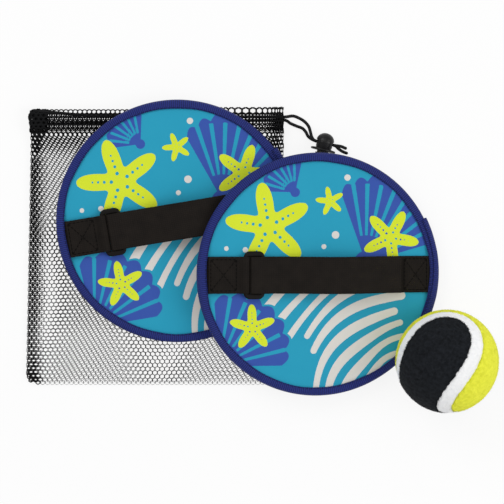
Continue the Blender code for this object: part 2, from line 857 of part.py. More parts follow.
def slot_prism(low, high):
    """A bmesh of a round-cornered slot for the two cords, right through along X, from low to high on Z."""
    corner = SLOT_HALF
    reach = SLOT_WIDTH / 2 - corner
    outline = []
    for y, z, start in (
        (reach, low + corner, -90),
        (reach, high - corner, 0),
        (-reach, high - corner, 90),
        (-reach, low + corner, 180),
    ):
        outline += arc((y, z), corner, start, start + 90, 3)
    rings = [[(x, y, z) for y, z in outline] for x in (-2 * LOCK_RADIUS, 2 * LOCK_RADIUS)]
    bm = lofted(rings, close_rings=False, capped=True)
    bmesh.ops.remove_doubles(bm, verts=bm.verts, dist=0.00001)
    return bm


def lock_body(parent):
    """Domed barrel with a blind bore and a waist, open at the button's end in an oval flange."""
    bore_end = LOCK_DOME - LOCK_CROWN
    profile = [(0, LOCK_DOME)]
    for a in np.radians(np.linspace(75, 0, 6)):
        profile.append((LOCK_RADIUS * math.cos(a), LOCK_DOME * math.sin(a)))
    flange = -LOCK_SKIRT + LOCK_FLANGE_THICKNESS
    edge = LOCK_FLANGE_THICKNESS / 4
    profile += [
        (LOCK_RADIUS, -LOCK_BARREL_END),
        (LOCK_WAIST_RADIUS, flange + edge),
        (LOCK_RADIUS - edge, flange),
        (LOCK_RADIUS, flange - edge),
        (LOCK_RADIUS, -LOCK_SKIRT + edge),
        (LOCK_RADIUS - edge, -LOCK_SKIRT),
        (LOCK_BORE, -LOCK_SKIRT),
        (LOCK_BORE, bore_end - LOCK_LIP),
        (LOCK_BORE - LOCK_LIP, bore_end),
        (0, bore_end),
    ]
    bm = turned(profile, LOCK_SEGMENTS)
    stretch = LOCK_FLANGE_LENGTH / 2 / LOCK_RADIUS
    for vert in bm.verts:
        on_flange = vert.co.z < flange + edge / 2
        if on_flange and vert.co.xy.length > LOCK_WAIST_RADIUS:
            vert.co.x *= stretch
    body = place(
        "cord_lock_body",
        new_mesh("cord_lock_body", bm),
        bpy.data.materials["black_plastic"],
        parent,
    )
    slot = slot_prism(LOCK_STATION - SLOT_HALF, LOCK_STATION + SLOT_HALF)
    cut(body, slot, "body_slot")
    return body


def lock_button(parent):
    """Plunger with a domed head and a long slot, so that pressing it frees the cords."""
    inner_end = LOCK_STATION + SLOT_HALF + BUTTON_BRIDGE
    neck = -BUTTON_NECK
    profile = [
        (0, inner_end),
        (BUTTON_RADIUS - 0.4 * MM, inner_end),
        (BUTTON_RADIUS, inner_end - 0.4 * MM),
        (BUTTON_RADIUS, neck),
        (BUTTON_HEAD_RADIUS, neck),
    ]
    for a in np.radians(np.linspace(0, 75, 5)):
        profile.append(
            (
                BUTTON_HEAD_RADIUS * math.cos(a),
                neck - BUTTON_HEAD_EDGE - (BUTTON_HEAD - BUTTON_HEAD_EDGE) * math.sin(a),
            )
        )
    profile.append((0, neck - BUTTON_HEAD))
    button = place(
        "cord_lock_button",
        new_mesh("cord_lock_button", turned(profile, LOCK_SEGMENTS)),
        bpy.data.materials["black_plastic"],
        parent,
    )
    low = LOCK_STATION - SLOT_HALF - BUTTON_TRAVEL
    cut(button, slot_prism(low, LOCK_STATION + SLOT_HALF), "button_slot")
    return button


def lock_spring(parent):
    """Coil spring between the button's inner end and the closed end of the bore."""
    low = LOCK_STATION + SLOT_HALF + BUTTON_BRIDGE + FIT + SPRING_WIRE / 2
    high = LOCK_DOME - LOCK_CROWN - FIT - SPRING_WIRE / 2
    curve = bpy.data.curves.new("cord_lock_spring", "CURVE")
    curve.dimensions = "3D"
    curve.bevel_depth = SPRING_WIRE / 2
    curve.bevel_resolution = 1
    curve.use_fill_caps = True
    steps = round(SPRING_TURNS * 10)
    spline = curve.splines.new("POLY")
    spline.points.add(steps)
    for i, control in enumerate(spline.points):
        angle = 2 * math.pi * SPRING_TURNS * i / steps
        height = low + (high - low) * i / steps
        control.co = (
            SPRING_RADIUS * math.cos(angle),
            SPRING_RADIUS * math.sin(angle),
            height,
            1,
        )
    return place("cord_lock_spring", curve, bpy.data.materials["spring_steel"], parent)


def cord_route(lock):
    """The drawstring's points: tip, lock, front channel, round the far side, back channel, lock, tip."""
    side = BAG_WIDTH / 2
    apart = (CORD_DIAMETER + FIT) / 2

    def through(level):
        return [
            lock @ Vector((x, level, LOCK_STATION))
            for x in (-LOCK_LEAD, 0, LOCK_LEAD)
        ]

    def listed(points):
        return [Vector(p) * MM for p in points]

    def in_bag(x, y, z):
        return BAG_CENTRE + Vector((x, y, z))

    rise = (FRONT_CORD_LEVEL - BACK_CORD_LEVEL) / 2
    spread = math.sqrt(CORD_BEND**2 - rise**2)
    bend_x = -side + CHANNEL_SET_IN
    bend_y = CORD_LINE - spread
    lead = 3 * CORD_DIAMETER
    stations = (side, side - lead, side / 2, 0, -side / 2, bend_x + lead)
    front_run = []
    for x in stations:
        settle = smooth_step((x - bend_x) / FRONT_CORD_SETTLE_OVER)
        drop = FRONT_CORD_SETTLE * settle + FRONT_CORD_DRIFT * smooth_step(x / side / 2 + 0.5)
        front_run.append(in_bag(x, CORD_LINE - drop, FRONT_CORD_LEVEL))
    turn = []
    for angle in np.radians(np.linspace(90, -90, 7)):
        up = math.sin(angle)
        turn.append(
            in_bag(
                bend_x - CORD_BEND * math.cos(angle),
                bend_y + spread * up,
                BACK_CORD_LEVEL + rise * (1 + up),
            )
        )
    back_run = [
        in_bag(
            x,
            bend_y - spread + BACK_CORD_DRIFT * smooth_step(x / side / 2 + 0.5),
            BACK_CORD_LEVEL,
        )
        for x in reversed(stations)
    ]
    route = listed(reversed(FRONT_TIP_ROUTE_MM)) + list(reversed(through(-apart)))
    route += listed(reversed(FRONT_END_ROUTE_MM)) + front_run + turn + back_run
    route += listed(BACK_END_ROUTE_MM) + through(apart) + listed(BACK_TIP_ROUTE_MM)
    return [np.array(p) for p in route]


def drawstring(parent, lock):
    curve = bpy.data.curves.new("drawstring", "CURVE")
    curve.dimensions = "3D"
    curve.bevel_depth = CORD_RADIUS
    curve.bevel_resolution = 2
    curve.use_fill_caps = True
    points = smooth_curve(cord_route(lock), CORD_POINT_SPACING)
    spline = curve.splines.new("POLY")
    spline.points.add(len(points) - 1)
    for control, point in zip(spline.points, points):
        control.co = (*point, 1)
    return place("drawstring", curve, bpy.data.materials["cord"], parent)


# The whole set


def build_paddle(prefix, parent, pose, pieces):
    frame = place_empty(f"{prefix}_frame", parent, pose)
    for piece, (data, material, matrix) in pieces.items():
        place(f"{prefix}_{piece}", data, bpy.data.materials[material], frame, matrix)


def build_ball(parent, centre):
    turn = Matrix.Rotation(BALL_TURN[2], 4, "Z")
    turn = turn @ Matrix.Rotation(BALL_TURN[1], 4, "Y")
    turn = turn @ Matrix.Rotation(BALL_TURN[0], 4, "X")
    frame = place_empty("ball_frame", parent, Matrix.Translation(centre) @ turn)
    pieces = {
        "ball_core": (ball_core_mesh("ball_core"), "rubber"),
        "ball_black_felt": (felt_panel_mesh("ball_black_felt", 1), "black_felt"),
        "ball_yellow_felt": (felt_panel_mesh("ball_yellow_felt", -1), "yellow_felt"),
        "ball_seam": (seam_mesh("ball_seam"), "white_felt"),
    }
    for name, (mesh, material) in pieces.items():
        place(name, mesh, bpy.data.materials[material], frame)


def build_bag(parent):
    frame = place_empty("bag_frame", parent, Matrix.Translation(BAG_CENTRE))
    ramp_to = BAG_HEIGHT / 2 - CHANNEL_HEIGHT
    front = hem_path(FRONT_HEM_LEVEL, ramp_to - CHANNEL_RAMP, ramp_to)
    back = hem_path(BACK_NET_LEVEL, 0, 0)
    net = bpy.data.materials["net"]
    for name, path in (("bag_front_net", front), ("bag_back_net", back)):
        panel = place(name, net_panel_mesh(name, path), net, frame)
        cut(panel, corner_cutter(), f"{name}_corners")
        if path is front:
            cut(panel, net_cutter(), f"{name}_gaps")
    place("bag_seam", bag_seam_mesh("bag_seam"), net, frame)


def extent_centre(points):
    """Middle of the set in plan, which becomes the frame's origin."""
    low, high = points[:, :2].min(axis=0), points[:, :2].max(axis=0)
    return (low + high) / 2


def make_materials():
    finish_material("neoprene", (0.020, 0.332, 0.503), 0.75)
    finish_material("tape", (0.022, 0.035, 0.210), 0.7)
    finish_material("loop_fabric", (0.012, 0.012, 0.013), 0.95)
    finish_material("board", (0.80, 0.80, 0.78), 0.6)
    finish_material("webbing", (0.016, 0.013, 0.011), 0.85)
    finish_material("loop_tape", (0.014, 0.012, 0.011), 0.95)
    finish_material("hook_tape", (0.020, 0.019, 0.018), 0.6)
    finish_material("black_plastic", (0.010, 0.010, 0.011), 0.35)
    finish_material("rubber", (0.35, 0.34, 0.30), 0.7)
    finish_material("black_felt", (0.010, 0.011, 0.014), 0.95)
    finish_material("yellow_felt", (0.70, 0.74, 0.05), 0.95)
    finish_material("white_felt", (0.86, 0.88, 0.88), 0.95)
    finish_material("net", (0.008, 0.008, 0.008), 0.6)
    finish_material("cord", (0.008, 0.008, 0.009), 0.7)
    finish_material("spring_steel", (0.60, 0.60, 0.62), 0.3, 1.0)


def main():
    clear_scene()
    make_materials()
    outline = tape_points()
    first = first_paddle_pose(outline)
    second = second_paddle_pose(outline, first)
    ball = ball_centre(outline, second)

    half_bag = Vector((BAG_WIDTH / 2, BAG_HEIGHT / 2, 0))
    extremes = [BAG_CENTRE - half_bag, BAG_CENTRE + half_bag]
    reach = Vector((BALL_RADIUS, BALL_RADIUS, 0))
    extremes += [ball - reach, ball + reach]
    everything = np.concatenate(
        [moved(first, outline), moved(second, outline), np.array(extremes)]
    )
    middle = extent_centre(everything)
    origin = place_empty("set_origin", None, Matrix.Translation((*-middle, 0)))

    pieces = paddle_meshes()
    build_paddle("left_paddle", origin, first, pieces)
    build_paddle("right_paddle", origin, second, pieces)
    build_ball(origin, ball)
    build_bag(origin)
    lock = lock_pose()
    lock_frame = place_empty("lock_frame", origin, lock)
    lock_body(lock_frame)
    lock_button(lock_frame)
    lock_spring(lock_frame)
    drawstring(origin, lock)
    bpy.context.view_layer.update()


main()
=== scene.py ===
# %% [markdown]
# # A catch set, dressed for its picture
# The set is laid out flat and seen from straight above: two round paddles with hand straps, a felt
# ball, and a mesh bag with its drawstring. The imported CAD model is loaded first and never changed.
# Each later cell makes one visible piece over it, or gives a CAD piece its finish.

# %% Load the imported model
import math

import bpy
import numpy as np
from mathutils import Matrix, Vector


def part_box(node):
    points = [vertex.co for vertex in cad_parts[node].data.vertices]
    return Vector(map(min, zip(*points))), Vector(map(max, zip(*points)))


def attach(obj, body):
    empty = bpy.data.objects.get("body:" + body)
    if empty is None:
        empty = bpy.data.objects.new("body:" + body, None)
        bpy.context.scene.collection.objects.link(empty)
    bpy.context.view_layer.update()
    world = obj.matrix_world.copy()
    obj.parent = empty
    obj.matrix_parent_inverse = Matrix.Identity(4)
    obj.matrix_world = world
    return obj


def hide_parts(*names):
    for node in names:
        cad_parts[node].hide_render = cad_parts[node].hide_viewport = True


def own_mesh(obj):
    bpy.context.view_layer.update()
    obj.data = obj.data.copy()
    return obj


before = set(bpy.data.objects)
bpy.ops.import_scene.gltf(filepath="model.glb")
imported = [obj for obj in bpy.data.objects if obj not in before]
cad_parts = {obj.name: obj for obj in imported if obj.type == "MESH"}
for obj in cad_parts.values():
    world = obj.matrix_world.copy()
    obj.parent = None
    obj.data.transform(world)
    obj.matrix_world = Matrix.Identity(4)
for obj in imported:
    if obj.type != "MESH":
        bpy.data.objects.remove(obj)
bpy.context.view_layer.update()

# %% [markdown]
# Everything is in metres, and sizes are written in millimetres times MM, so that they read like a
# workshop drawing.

MM = 0.001
scene = bpy.context.scene
scene.view_settings.view_transform = "Standard"

# %% [markdown]
# Colours are written as sRGB hex, as a paint program shows them. Shaders calculate in linear light, so
# one function turns the hex value to linear. Another adds a node together with its settings and links,
# which keeps each material down to the few lines that say something about the real material.

# %% Colours and nodes
def linear(hex_colour):
    """Each channel c of an sRGB colour becomes ((c + 0.055) / 1.055) ** 2.4, or c / 12.92 near black."""
    channels = [int(hex_colour[i : i + 2], 16) / 255 for i in (1, 3, 5)]
    lit = [c / 12.92 if c <= 0.04045 else ((c + 0.055) / 1.055) ** 2.4 for c in channels]
    return (*lit, 1.0)


def add(tree, kind, inputs=None, **settings):
    """Adds a node. Inputs maps each socket to a value, a hex colour or the output that feeds it."""
    made = tree.nodes.new(kind)
    for key, value in settings.items():
        setattr(made, key, value)
    for key, value in (inputs or {}).items():
        if isinstance(value, bpy.types.NodeSocket):
            tree.links.new(value, made.inputs[key])
        else:
            made.inputs[key].default_value = linear(value) if isinstance(value, str) else value
    return made


def new_material(name, **sockets):
    """A Principled material with constants set on the shader's own sockets."""
    material = bpy.data.materials.new(name)
    material.use_nodes = True
    tree = material.node_tree
    shader = tree.nodes["Principled BSDF"]
    for key, value in sockets.items():
        shader.inputs[key.replace("_", " ")].default_value = value
    return material, tree, shader


def feed(tree, output, shader, socket):
    """Links an output to one of the shader's sockets."""
    tree.links.new(output, shader.inputs[socket])


def wave_scale(pitch):
    """A wave texture repeats every pi / 10 of its scaled coordinate, so this gives one wave a pitch."""
    return math.pi / 10 / pitch


def grained(name, dark, light, scale, detail=4.0, strength=0.6, deep_mm=0.1, **sockets):
    """A material whose tone and relief follow one noise at the grain's real scale, in cycles a metre."""
    material, tree, shader = new_material(name, **sockets)
    spot = add(tree, "ShaderNodeTexCoord").outputs["Object"]
    sizes = {"Vector": spot, "Scale": scale, "Detail": detail}
    grain = add(tree, "ShaderNodeTexNoise", sizes).outputs["Fac"]
    tone = add(tree, "ShaderNodeMix", {0: grain, 6: dark, 7: light}, data_type="RGBA")
    feed(tree, tone.outputs[2], shader, "Base Color")
    if strength:
        depth = {"Strength": strength, "Distance": deep_mm * MM, "Height": grain}
        feed(tree, add(tree, "ShaderNodeBump", depth).outputs["Normal"], shader, "Normal")
    return material


# %% [markdown]
# New pieces are grids of points worked out as whole arrays. Skinning a grid joins each point to its
# neighbours with four-sided faces, and can close the grid on itself in either direction. Faces have to
# point outwards, so the volume that they enclose is measured, and a negative one turns them round.

# %% Meshes from grids of points
def skin(points, loop_rows=False, loop_columns=False, caps=False, u=None, v=None):
    """Faces over rows by columns of points; u and v are the surface coordinates of rows and columns."""
    rows, columns = points.shape[:2]
    i, j = np.meshgrid(
        np.arange(rows if loop_rows else rows - 1),
        np.arange(columns if loop_columns else columns - 1),
        indexing="ij",
    )
    i, j = i.ravel(), j.ravel()
    at_row = np.stack([i, i, i + 1, i + 1], axis=1)
    at_column = np.stack([j, j + 1, j + 1, j], axis=1)
    quads = (at_row % rows) * columns + at_column % columns
    vertices = points.reshape(-1, 3)
    u = np.arange(rows + 1) / rows if u is None else np.append(u, 2 * u[-1] - u[-2])
    v = np.arange(columns + 1) / columns if v is None else np.append(v, 2 * v[-1] - v[-2])
    faces, uvs = [quads], [np.stack([u[at_row], v[at_column]], axis=2)]
    if caps:
        ring = np.arange(columns)
        after = (ring + 1) % columns
        for row, middle in ((0, rows * columns), (rows - 1, rows * columns + 1)):
            first, second = (after, ring) if row == 0 else (ring, after)
            hub = np.full(columns, middle)
            fan = np.stack([row * columns + first, row * columns + second, hub], axis=1)
            faces.append(fan)
            uvs.append(np.tile([u[row], v[0]], (columns, 3, 1)))
        hubs = np.stack([points[0].mean(axis=0), points[-1].mean(axis=0)])
        vertices = np.concatenate([vertices, hubs])
    return vertices, faces, uvs


def enclosed(vertices, faces):
    """Signed volume: a sixth of the sum of a . (b x c) over the triangles."""
    total = 0.0
    for group in faces:
        for k in range(1, group.shape[1] - 1):
            a, b, c = (vertices[group[:, n]] for n in (0, k, k + 1))
            total += float((a * np.cross(b, c)).sum())
    return total / 6


def make_piece(name, shape, material, replaced=(), body="catch_set", values=None):
    """An object from vertices, face groups and their surface coordinates, riding on its body."""
    vertices, faces, uvs = shape
    vertices = np.asarray(vertices, float)
    if enclosed(vertices, faces) < 0:
        faces = [group[:, ::-1] for group in faces]
        uvs = [group[:, ::-1] for group in uvs]
    mesh = bpy.data.meshes.new(name)
    mesh.from_pydata(vertices, [], [face for group in faces for face in group.tolist()])
    layer = mesh.uv_layers.new(name="UVMap")
    flat = np.concatenate([group.reshape(-1, 2) for group in uvs])
    layer.data.foreach_set("uv", flat.ravel())
    for key, numbers in (values or {}).items():
        mesh.attributes.new(key, "FLOAT", "POINT").data.foreach_set("value", numbers.ravel())
    mesh.shade_smooth()
    mesh.materials.append(material)
    piece = bpy.data.objects.new(name, mesh)
    scene.collection.objects.link(piece)
    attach(piece, body)
    if replaced:
        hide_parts(*replaced)
    triangles = sum(len(group) * (group.shape[1] - 2) for group in faces)
    print(f"{name}: {triangles} triangles")
    return piece


def joined(shapes):
    """Several shapes as one: their points follow each other, and each one's faces count on from there."""
    vertices, faces, uvs, start = [], {}, {}, 0
    for points, groups, maps in shapes:
        for group, chart in zip(groups, maps):
            faces.setdefault(group.shape[1], []).append(group + start)
            uvs.setdefault(group.shape[1], []).append(chart)
        vertices.append(points)
        start += len(points)
    sides = sorted(faces)
    return (
        np.concatenate(vertices),
        [np.concatenate(faces[k]) for k in sides],
        [np.concatenate(uvs[k]) for k in sides],
    )


def smooth_step(share):
    """Rises from 0 to 1 as 3 s^2 - 2 s^3."""
    share = np.clip(share, 0.0, 1.0)
    return share * share * (3 - 2 * share)


def unit(vectors):
    """The same directions, each one long."""
    return vectors / np.linalg.norm(vectors, axis=-1, keepdims=True)


# %% [markdown]
# The photograph was taken from straight above with a long lens. A camera two metres up with a narrow
# lens gives the same flat view. One pixel is 0.6875 mm on the floor, and that fixes the lens.

# %% Camera
CAMERA_HEIGHT, PICTURE_PIXELS = 2.0, 504
VIEW_CENTRE = (-6.2 * MM, 2.3 * MM)
PIXEL_ON_FLOOR = 0.6875 * MM
SENSOR = 36.0
lens = bpy.data.cameras.new("camera_lens")
lens.sensor_width = SENSOR
lens.lens = CAMERA_HEIGHT * SENSOR / (PICTURE_PIXELS * PIXEL_ON_FLOOR)
lens.clip_start = 0.1
camera = bpy.data.objects.new("camera", lens)
camera.location = (*VIEW_CENTRE, CAMERA_HEIGHT)
scene.collection.objects.link(camera)
scene.camera = camera
print("lens:", round(lens.lens, 1), "mm")

# %% [markdown]
# The floor is a sheet of white paper. Its diffuse part takes the soft shadows, and a share of plain
# white light for the camera keeps it as white as the photograph's background.

# %% Floor and light
FLOOR_DROP = 0.3 * MM
FLOOR_SIZE = 3.0
SHADOW_SHARE, ROOM_LIGHT = 0.15, 0.62

paper, tree, shader = new_material("white_paper", Base_Color=linear("#F7F7F7"), Roughness=0.9)
rays = add(tree, "ShaderNodeLightPath")
seen = add(
    tree, "ShaderNodeMath", {0: rays.outputs["Is Camera Ray"], 1: rays.outputs["Is Glossy Ray"]},
    operation="MAXIMUM",
)
share = add(tree, "ShaderNodeMath", {0: seen.outputs[0], 1: 1 - SHADOW_SHARE}, operation="MULTIPLY")
glow = add(tree, "ShaderNodeEmission", {"Color": (1, 1, 1, 1), "Strength": 1.0})
blend = add(
    tree, "ShaderNodeMixShader", {0: share.outputs[0], 1: shader.outputs[0], 2: glow.outputs[0]}
)
feed(tree, blend.outputs[0], tree.nodes["Material Output"], "Surface")
half = FLOOR_SIZE / 2
floor_mesh = bpy.data.meshes.new("floor")
floor_mesh.from_pydata(
    [(x, y, -FLOOR_DROP) for x, y in ((-half, -half), (half, -half), (half, half), (-half, half))],
    [],
    [(0, 1, 2, 3)],
)
floor_mesh.materials.append(paper)
floor = bpy.data.objects.new("floor", floor_mesh)
scene.collection.objects.link(floor)

world = bpy.data.worlds.new("soft_room")
scene.world = world
world.use_nodes = True
backdrop = world.node_tree.nodes["Background"]
backdrop.inputs["Color"].default_value = (1, 1, 1, 1)
backdrop.inputs["Strength"].default_value = ROOM_LIGHT


def soft_lamp(name, place, size, power):
    """A square area lamp that looks at the set's middle."""
    data = bpy.data.lights.new(name, "AREA")
    data.size = size
    data.energy = power
    lamp = bpy.data.objects.new(name, data)
    lamp.location = place
    lamp.rotation_euler = (-Vector(place)).to_track_quat("-Z", "Y").to_euler()
    scene.collection.objects.link(lamp)


soft_lamp("lamp_upper_left", (-0.8, 0.9, 1.3), 0.9, 8.0)
soft_lamp("lamp_right", (1.0, -0.2, 1.1), 0.8, 6.0)

# %% [markdown]
# Each paddle is drawn in a frame of its own: the underside of its edge tape is height 0, and its hand
# strap runs along X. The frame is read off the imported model: the flat catch face gives the centre and
# the direction that the paddle faces, and the strap's ring tells which way X points.

# %% The paddles' frames
CATCH_MIDDLE = 1.7 * MM


def node_points(node):
    """A CAD node's points, as an array of rows."""
    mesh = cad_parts[node].data
    points = np.empty(len(mesh.vertices) * 3)
    mesh.vertices.foreach_get("co", points)
    return points.reshape(-1, 3)


def paddle_frame(side):
    """Axes as rows and the origin: Z is the direction in which the flat face's points spread least."""
    face = node_points(f"{side}_paddle_catch_face")
    ring = np.array(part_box(f"{side}_paddle_strap_ring")).mean(axis=0)
    middle = np.array(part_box(f"{side}_paddle_catch_face")).mean(axis=0)
    up = np.linalg.svd(face - middle, full_matrices=False)[2][2]
    up = up if up[2] > 0 else -up
    along = middle - ring
    along -= up * (along @ up)
    along /= np.linalg.norm(along)
    axes = np.stack([along, np.cross(up, along), up])
    return axes, middle - up * CATCH_MIDDLE


PADDLES = {side: paddle_frame(side) for side in ("left", "right")}
for side, (axes, origin) in PADDLES.items():
    print(side, "origin mm", np.round(origin * 1000, 2).tolist(), "up", np.round(axes[2], 4).tolist())


def in_paddle(side, points):
    """Points in a paddle's own frame, put where that paddle lies."""
    axes, origin = PADDLES[side]
    return points @ axes + origin


def paddle_piece(side, name, points, material, slot, node, values=None, **skinning):
    """One paddle's piece, skinned from points in the paddle's own frame, in place of that CAD node."""
    shape = skin(in_paddle(side, points), loop_columns=True, **skinning)
    return make_piece(
        f"{side}_{name}", shape, material, replaced=[f"{side}_paddle_{node}"], values=values
    )


# %% [markdown]
# ## The drawstring
# One braided polyester cord, 2.4 mm thick. It runs from its tip through the lock, along the front hem,
# turns at the bag's far corner, comes back along the back hem and ends beside its other tip. It is
# limp, so it bends no tighter than two diameters. The route is a Catmull-Rom curve through the same
# points as the CAD solid's, and the tube carries a braid: two families of helical ridges that cross.

# %% The cord's route
CORD = 2.4 * MM
PADDLE_CENTRE = np.array([-57.214, 23.629, 0.0]) * MM
BAG_CENTRE = PADDLE_CENTRE + np.array([-14.7, -17.7, 0.0]) * MM
LOCK_CENTRE = PADDLE_CENTRE + np.array([101.2, 54.6, 6.2]) * MM
LOCK_AXIS = np.array([math.cos(math.radians(76)), math.sin(math.radians(76)), 0.0])
LOCK_ACROSS = np.array([LOCK_AXIS[1], -LOCK_AXIS[0], 0.0])
LOCK_STATION, LOCK_LEAD = -1.3 * MM, 7.0 * MM
BAG_HALF = 88.5 * MM
FRONT_CORD_LEVEL, BACK_CORD_LEVEL, CORD_LINE = 6.6 * MM, 2.1 * MM, 92.9 * MM
TURN_RADIUS, TURN_X = 4.8 * MM, -82.1 * MM

FRONT_TIP = [(116.2, 49.5, 1.5), (114.5, 50.2, 2.4), (112.6, 50.9, 4.4), (110.3, 51.3, 6.6)]
FRONT_END = [
    (91.9, 57.7, 6.9), (91.0, 61.3, 5.0), (89.8, 65.0, 3.0),
    (87.0, 68.3, 2.3), (83.2, 70.6, 3.2), (79.0, 71.9, 5.2),
]
BACK_END = [(77.6, 66.9, 1.8), (81.8, 65.1, 1.6), (85.6, 63.6, 1.8), (88.0, 61.0, 2.6), (89.9, 57.6, 4.0)]
BACK_TIP = [(110.1, 49.7, 3.9), (112.4, 48.1, 2.6), (114.7, 47.0, 1.7), (117.0, 46.3, 1.4)]


def as_points(*coordinates):
    """Coordinates side by side as points; each may be a number or an array."""
    return np.stack(np.broadcast_arrays(*coordinates), axis=-1)


def cord_knots():
    """The route's own points, from the front tip to the back tip."""
    rise = (FRONT_CORD_LEVEL - BACK_CORD_LEVEL) / 2
    spread = math.sqrt(TURN_RADIUS**2 - rise**2)
    low_line = CORD_LINE - 2 * spread
    lead = 3 * CORD
    stations = np.array([BAG_HALF, BAG_HALF - lead, BAG_HALF / 2, 0, -BAG_HALF / 2, TURN_X + lead])
    drift = smooth_step(stations / BAG_HALF / 2 + 0.5)
    drop = 2.8 * MM * smooth_step((stations - TURN_X) / (30 * MM)) + 1.2 * MM * drift
    front = as_points(stations, CORD_LINE - drop, FRONT_CORD_LEVEL)
    back = as_points(stations, low_line + 2.4 * MM * drift, BACK_CORD_LEVEL)
    angle = np.radians(np.linspace(90, -90, 7))
    out, over = TURN_RADIUS * np.cos(angle), np.sin(angle)
    turn_y, turn_z = CORD_LINE - spread + spread * over, BACK_CORD_LEVEL + rise * (1 + over)
    turn = as_points(TURN_X - out, turn_y, turn_z)
    in_bag = np.concatenate([front, turn, back[::-1]]) + BAG_CENTRE
    apart = (CORD + 0.3 * MM) / 2
    steps = np.array([-LOCK_LEAD, 0, LOCK_LEAD])[:, None] * LOCK_ACROSS
    through = LOCK_CENTRE + steps + LOCK_AXIS * LOCK_STATION
    up = np.array([0, 0, apart])

    def listed(points):
        """A listed stretch, given in millimetres from the left paddle's centre."""
        return np.array(points) * MM + PADDLE_CENTRE

    front_parts = [listed(FRONT_TIP), (through + up)[::-1], listed(FRONT_END)]
    back_parts = [listed(BACK_END), through - up, listed(BACK_TIP)]
    return np.concatenate([*front_parts, in_bag, *back_parts])


def walked(line):
    """How far along a line of points each point is."""
    return np.concatenate([[0], np.cumsum(np.linalg.norm(np.diff(line, axis=0), axis=1))])


def picked(line, far, stops):
    """The places on a line at these distances along it."""
    return np.stack([np.interp(stops, far, line[:, k]) for k in range(3)], axis=1)


def smooth_line(knots, spacing):
    """Catmull-Rom: a cubic per stretch, whose slope at a knot is half the step between its neighbours."""
    padded = np.concatenate([[2 * knots[0] - knots[1]], knots, [2 * knots[-1] - knots[-2]]])
    t = np.linspace(0, 1, 24, endpoint=False)[None, :, None]
    a, b, c, d = (padded[k : len(padded) - 3 + k][:, None] for k in range(4))
    cubic = (2 * a - 5 * b + 4 * c - d) * t**2 + (3 * b - 3 * c + d - a) * t**3
    dense = (2 * b + (c - a) * t + cubic) / 2
    line = np.concatenate([dense.reshape(-1, 3), knots[-1:]])
    far = walked(line)
    stops = np.linspace(0, far[-1], round(far[-1] / spacing) + 1)
    return picked(line, far, stops), stops


cord_line, cord_stops = smooth_line(cord_knots(), 0.4 * MM)


# %% The cord's braided tube
def bearings(count):
    """Even steps round a full turn, in radians."""
    return np.linspace(0, 2 * math.pi, count, endpoint=False)


def braided_tube(line, stops, diameter, around=14, pitch=2.6 * MM, relief=0.07):
    """Rings whose radius rises where two opposite helices cross: 1 + relief x sin(a + s) x sin(a - s)."""
    run = unit(np.gradient(line, axis=0))
    side = unit(np.cross(run, [0, 0, 1.0]))
    up = np.cross(side, run)
    angle = bearings(around)
    wound = 2 * math.pi * stops[:, None] / pitch
    strands = np.sin(3 * angle + wound) * np.sin(3 * angle - wound)
    end = np.minimum(stops, stops[-1] - stops)[:, None] / (diameter / 2)
    rounding = np.sqrt(np.clip(1 - (1 - np.minimum(end, 1)) ** 2, 0.02, 1))
    radius = diameter / 2 * (1 - relief + relief * strands) * rounding
    ring = side[:, None] * np.cos(angle)[:, None] + up[:, None] * np.sin(angle)[:, None]
    return line[:, None] + radius[:, :, None] * ring, angle * diameter / 2


# %% [markdown]
# The cord lock's button is pushed out by a coil spring of steel wire, which gets shorter when the button
# is pressed. In place of the CAD's spring, a wire is wound on a helix over it, between its ends.

# %% The lock's spring
SPRING_WIRE, SPRING_RADIUS, SPRING_TURNS = 0.4 * MM, 2.7 * MM, 2


def coil_shape():
    """A wire on a helix: it turns at one radius and climbs evenly between the CAD spring's ends."""
    level = (node_points("cord_lock_spring") - LOCK_CENTRE) @ LOCK_AXIS
    climb = np.linspace(level.min() + SPRING_WIRE / 2, level.max() - SPRING_WIRE / 2, 97)[:, None]
    turn = np.linspace(0, 2 * math.pi * SPRING_TURNS, 97)[:, None]
    outward = np.cos(turn) * LOCK_ACROSS + np.sin(turn) * np.cross(LOCK_AXIS, LOCK_ACROSS)
    middle = LOCK_CENTRE + SPRING_RADIUS * outward + climb * LOCK_AXIS
    round_it = bearings(10)[:, None]
    wire = outward[:, None] * np.cos(round_it) + LOCK_AXIS * np.sin(round_it)
    return middle[:, None] + SPRING_WIRE / 2 * wire, float(level.min()), float(level.max())


# Drawn steel wire: bright, with a faint grain
spring_wire = grained(
    "spring_steel_wire", "#B4B4B8", "#C8C8CC", 1200.0, deep_mm=0.02,
    Roughness=0.3, Specular_IOR_Level=0.5, Metallic=1.0,
)
coil_rings, coil_low, coil_high = coil_shape()
coil = make_piece(
    "lock_spring_coil", skin(coil_rings, loop_columns=True, caps=True), spring_wire,
    replaced=["cord_lock_spring"],
)
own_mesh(coil)
cad_coil = node_points("cord_lock_spring")
apart = np.linalg.norm(cad_coil[:, None] - coil_rings.reshape(-1, 3)[None], axis=2).min(axis=1)
print("spring:", round(1000 * (coil_high - coil_low), 2), "mm long")
print("off the CAD's by at most", round(1000 * float(apart.max()), 2), "mm")
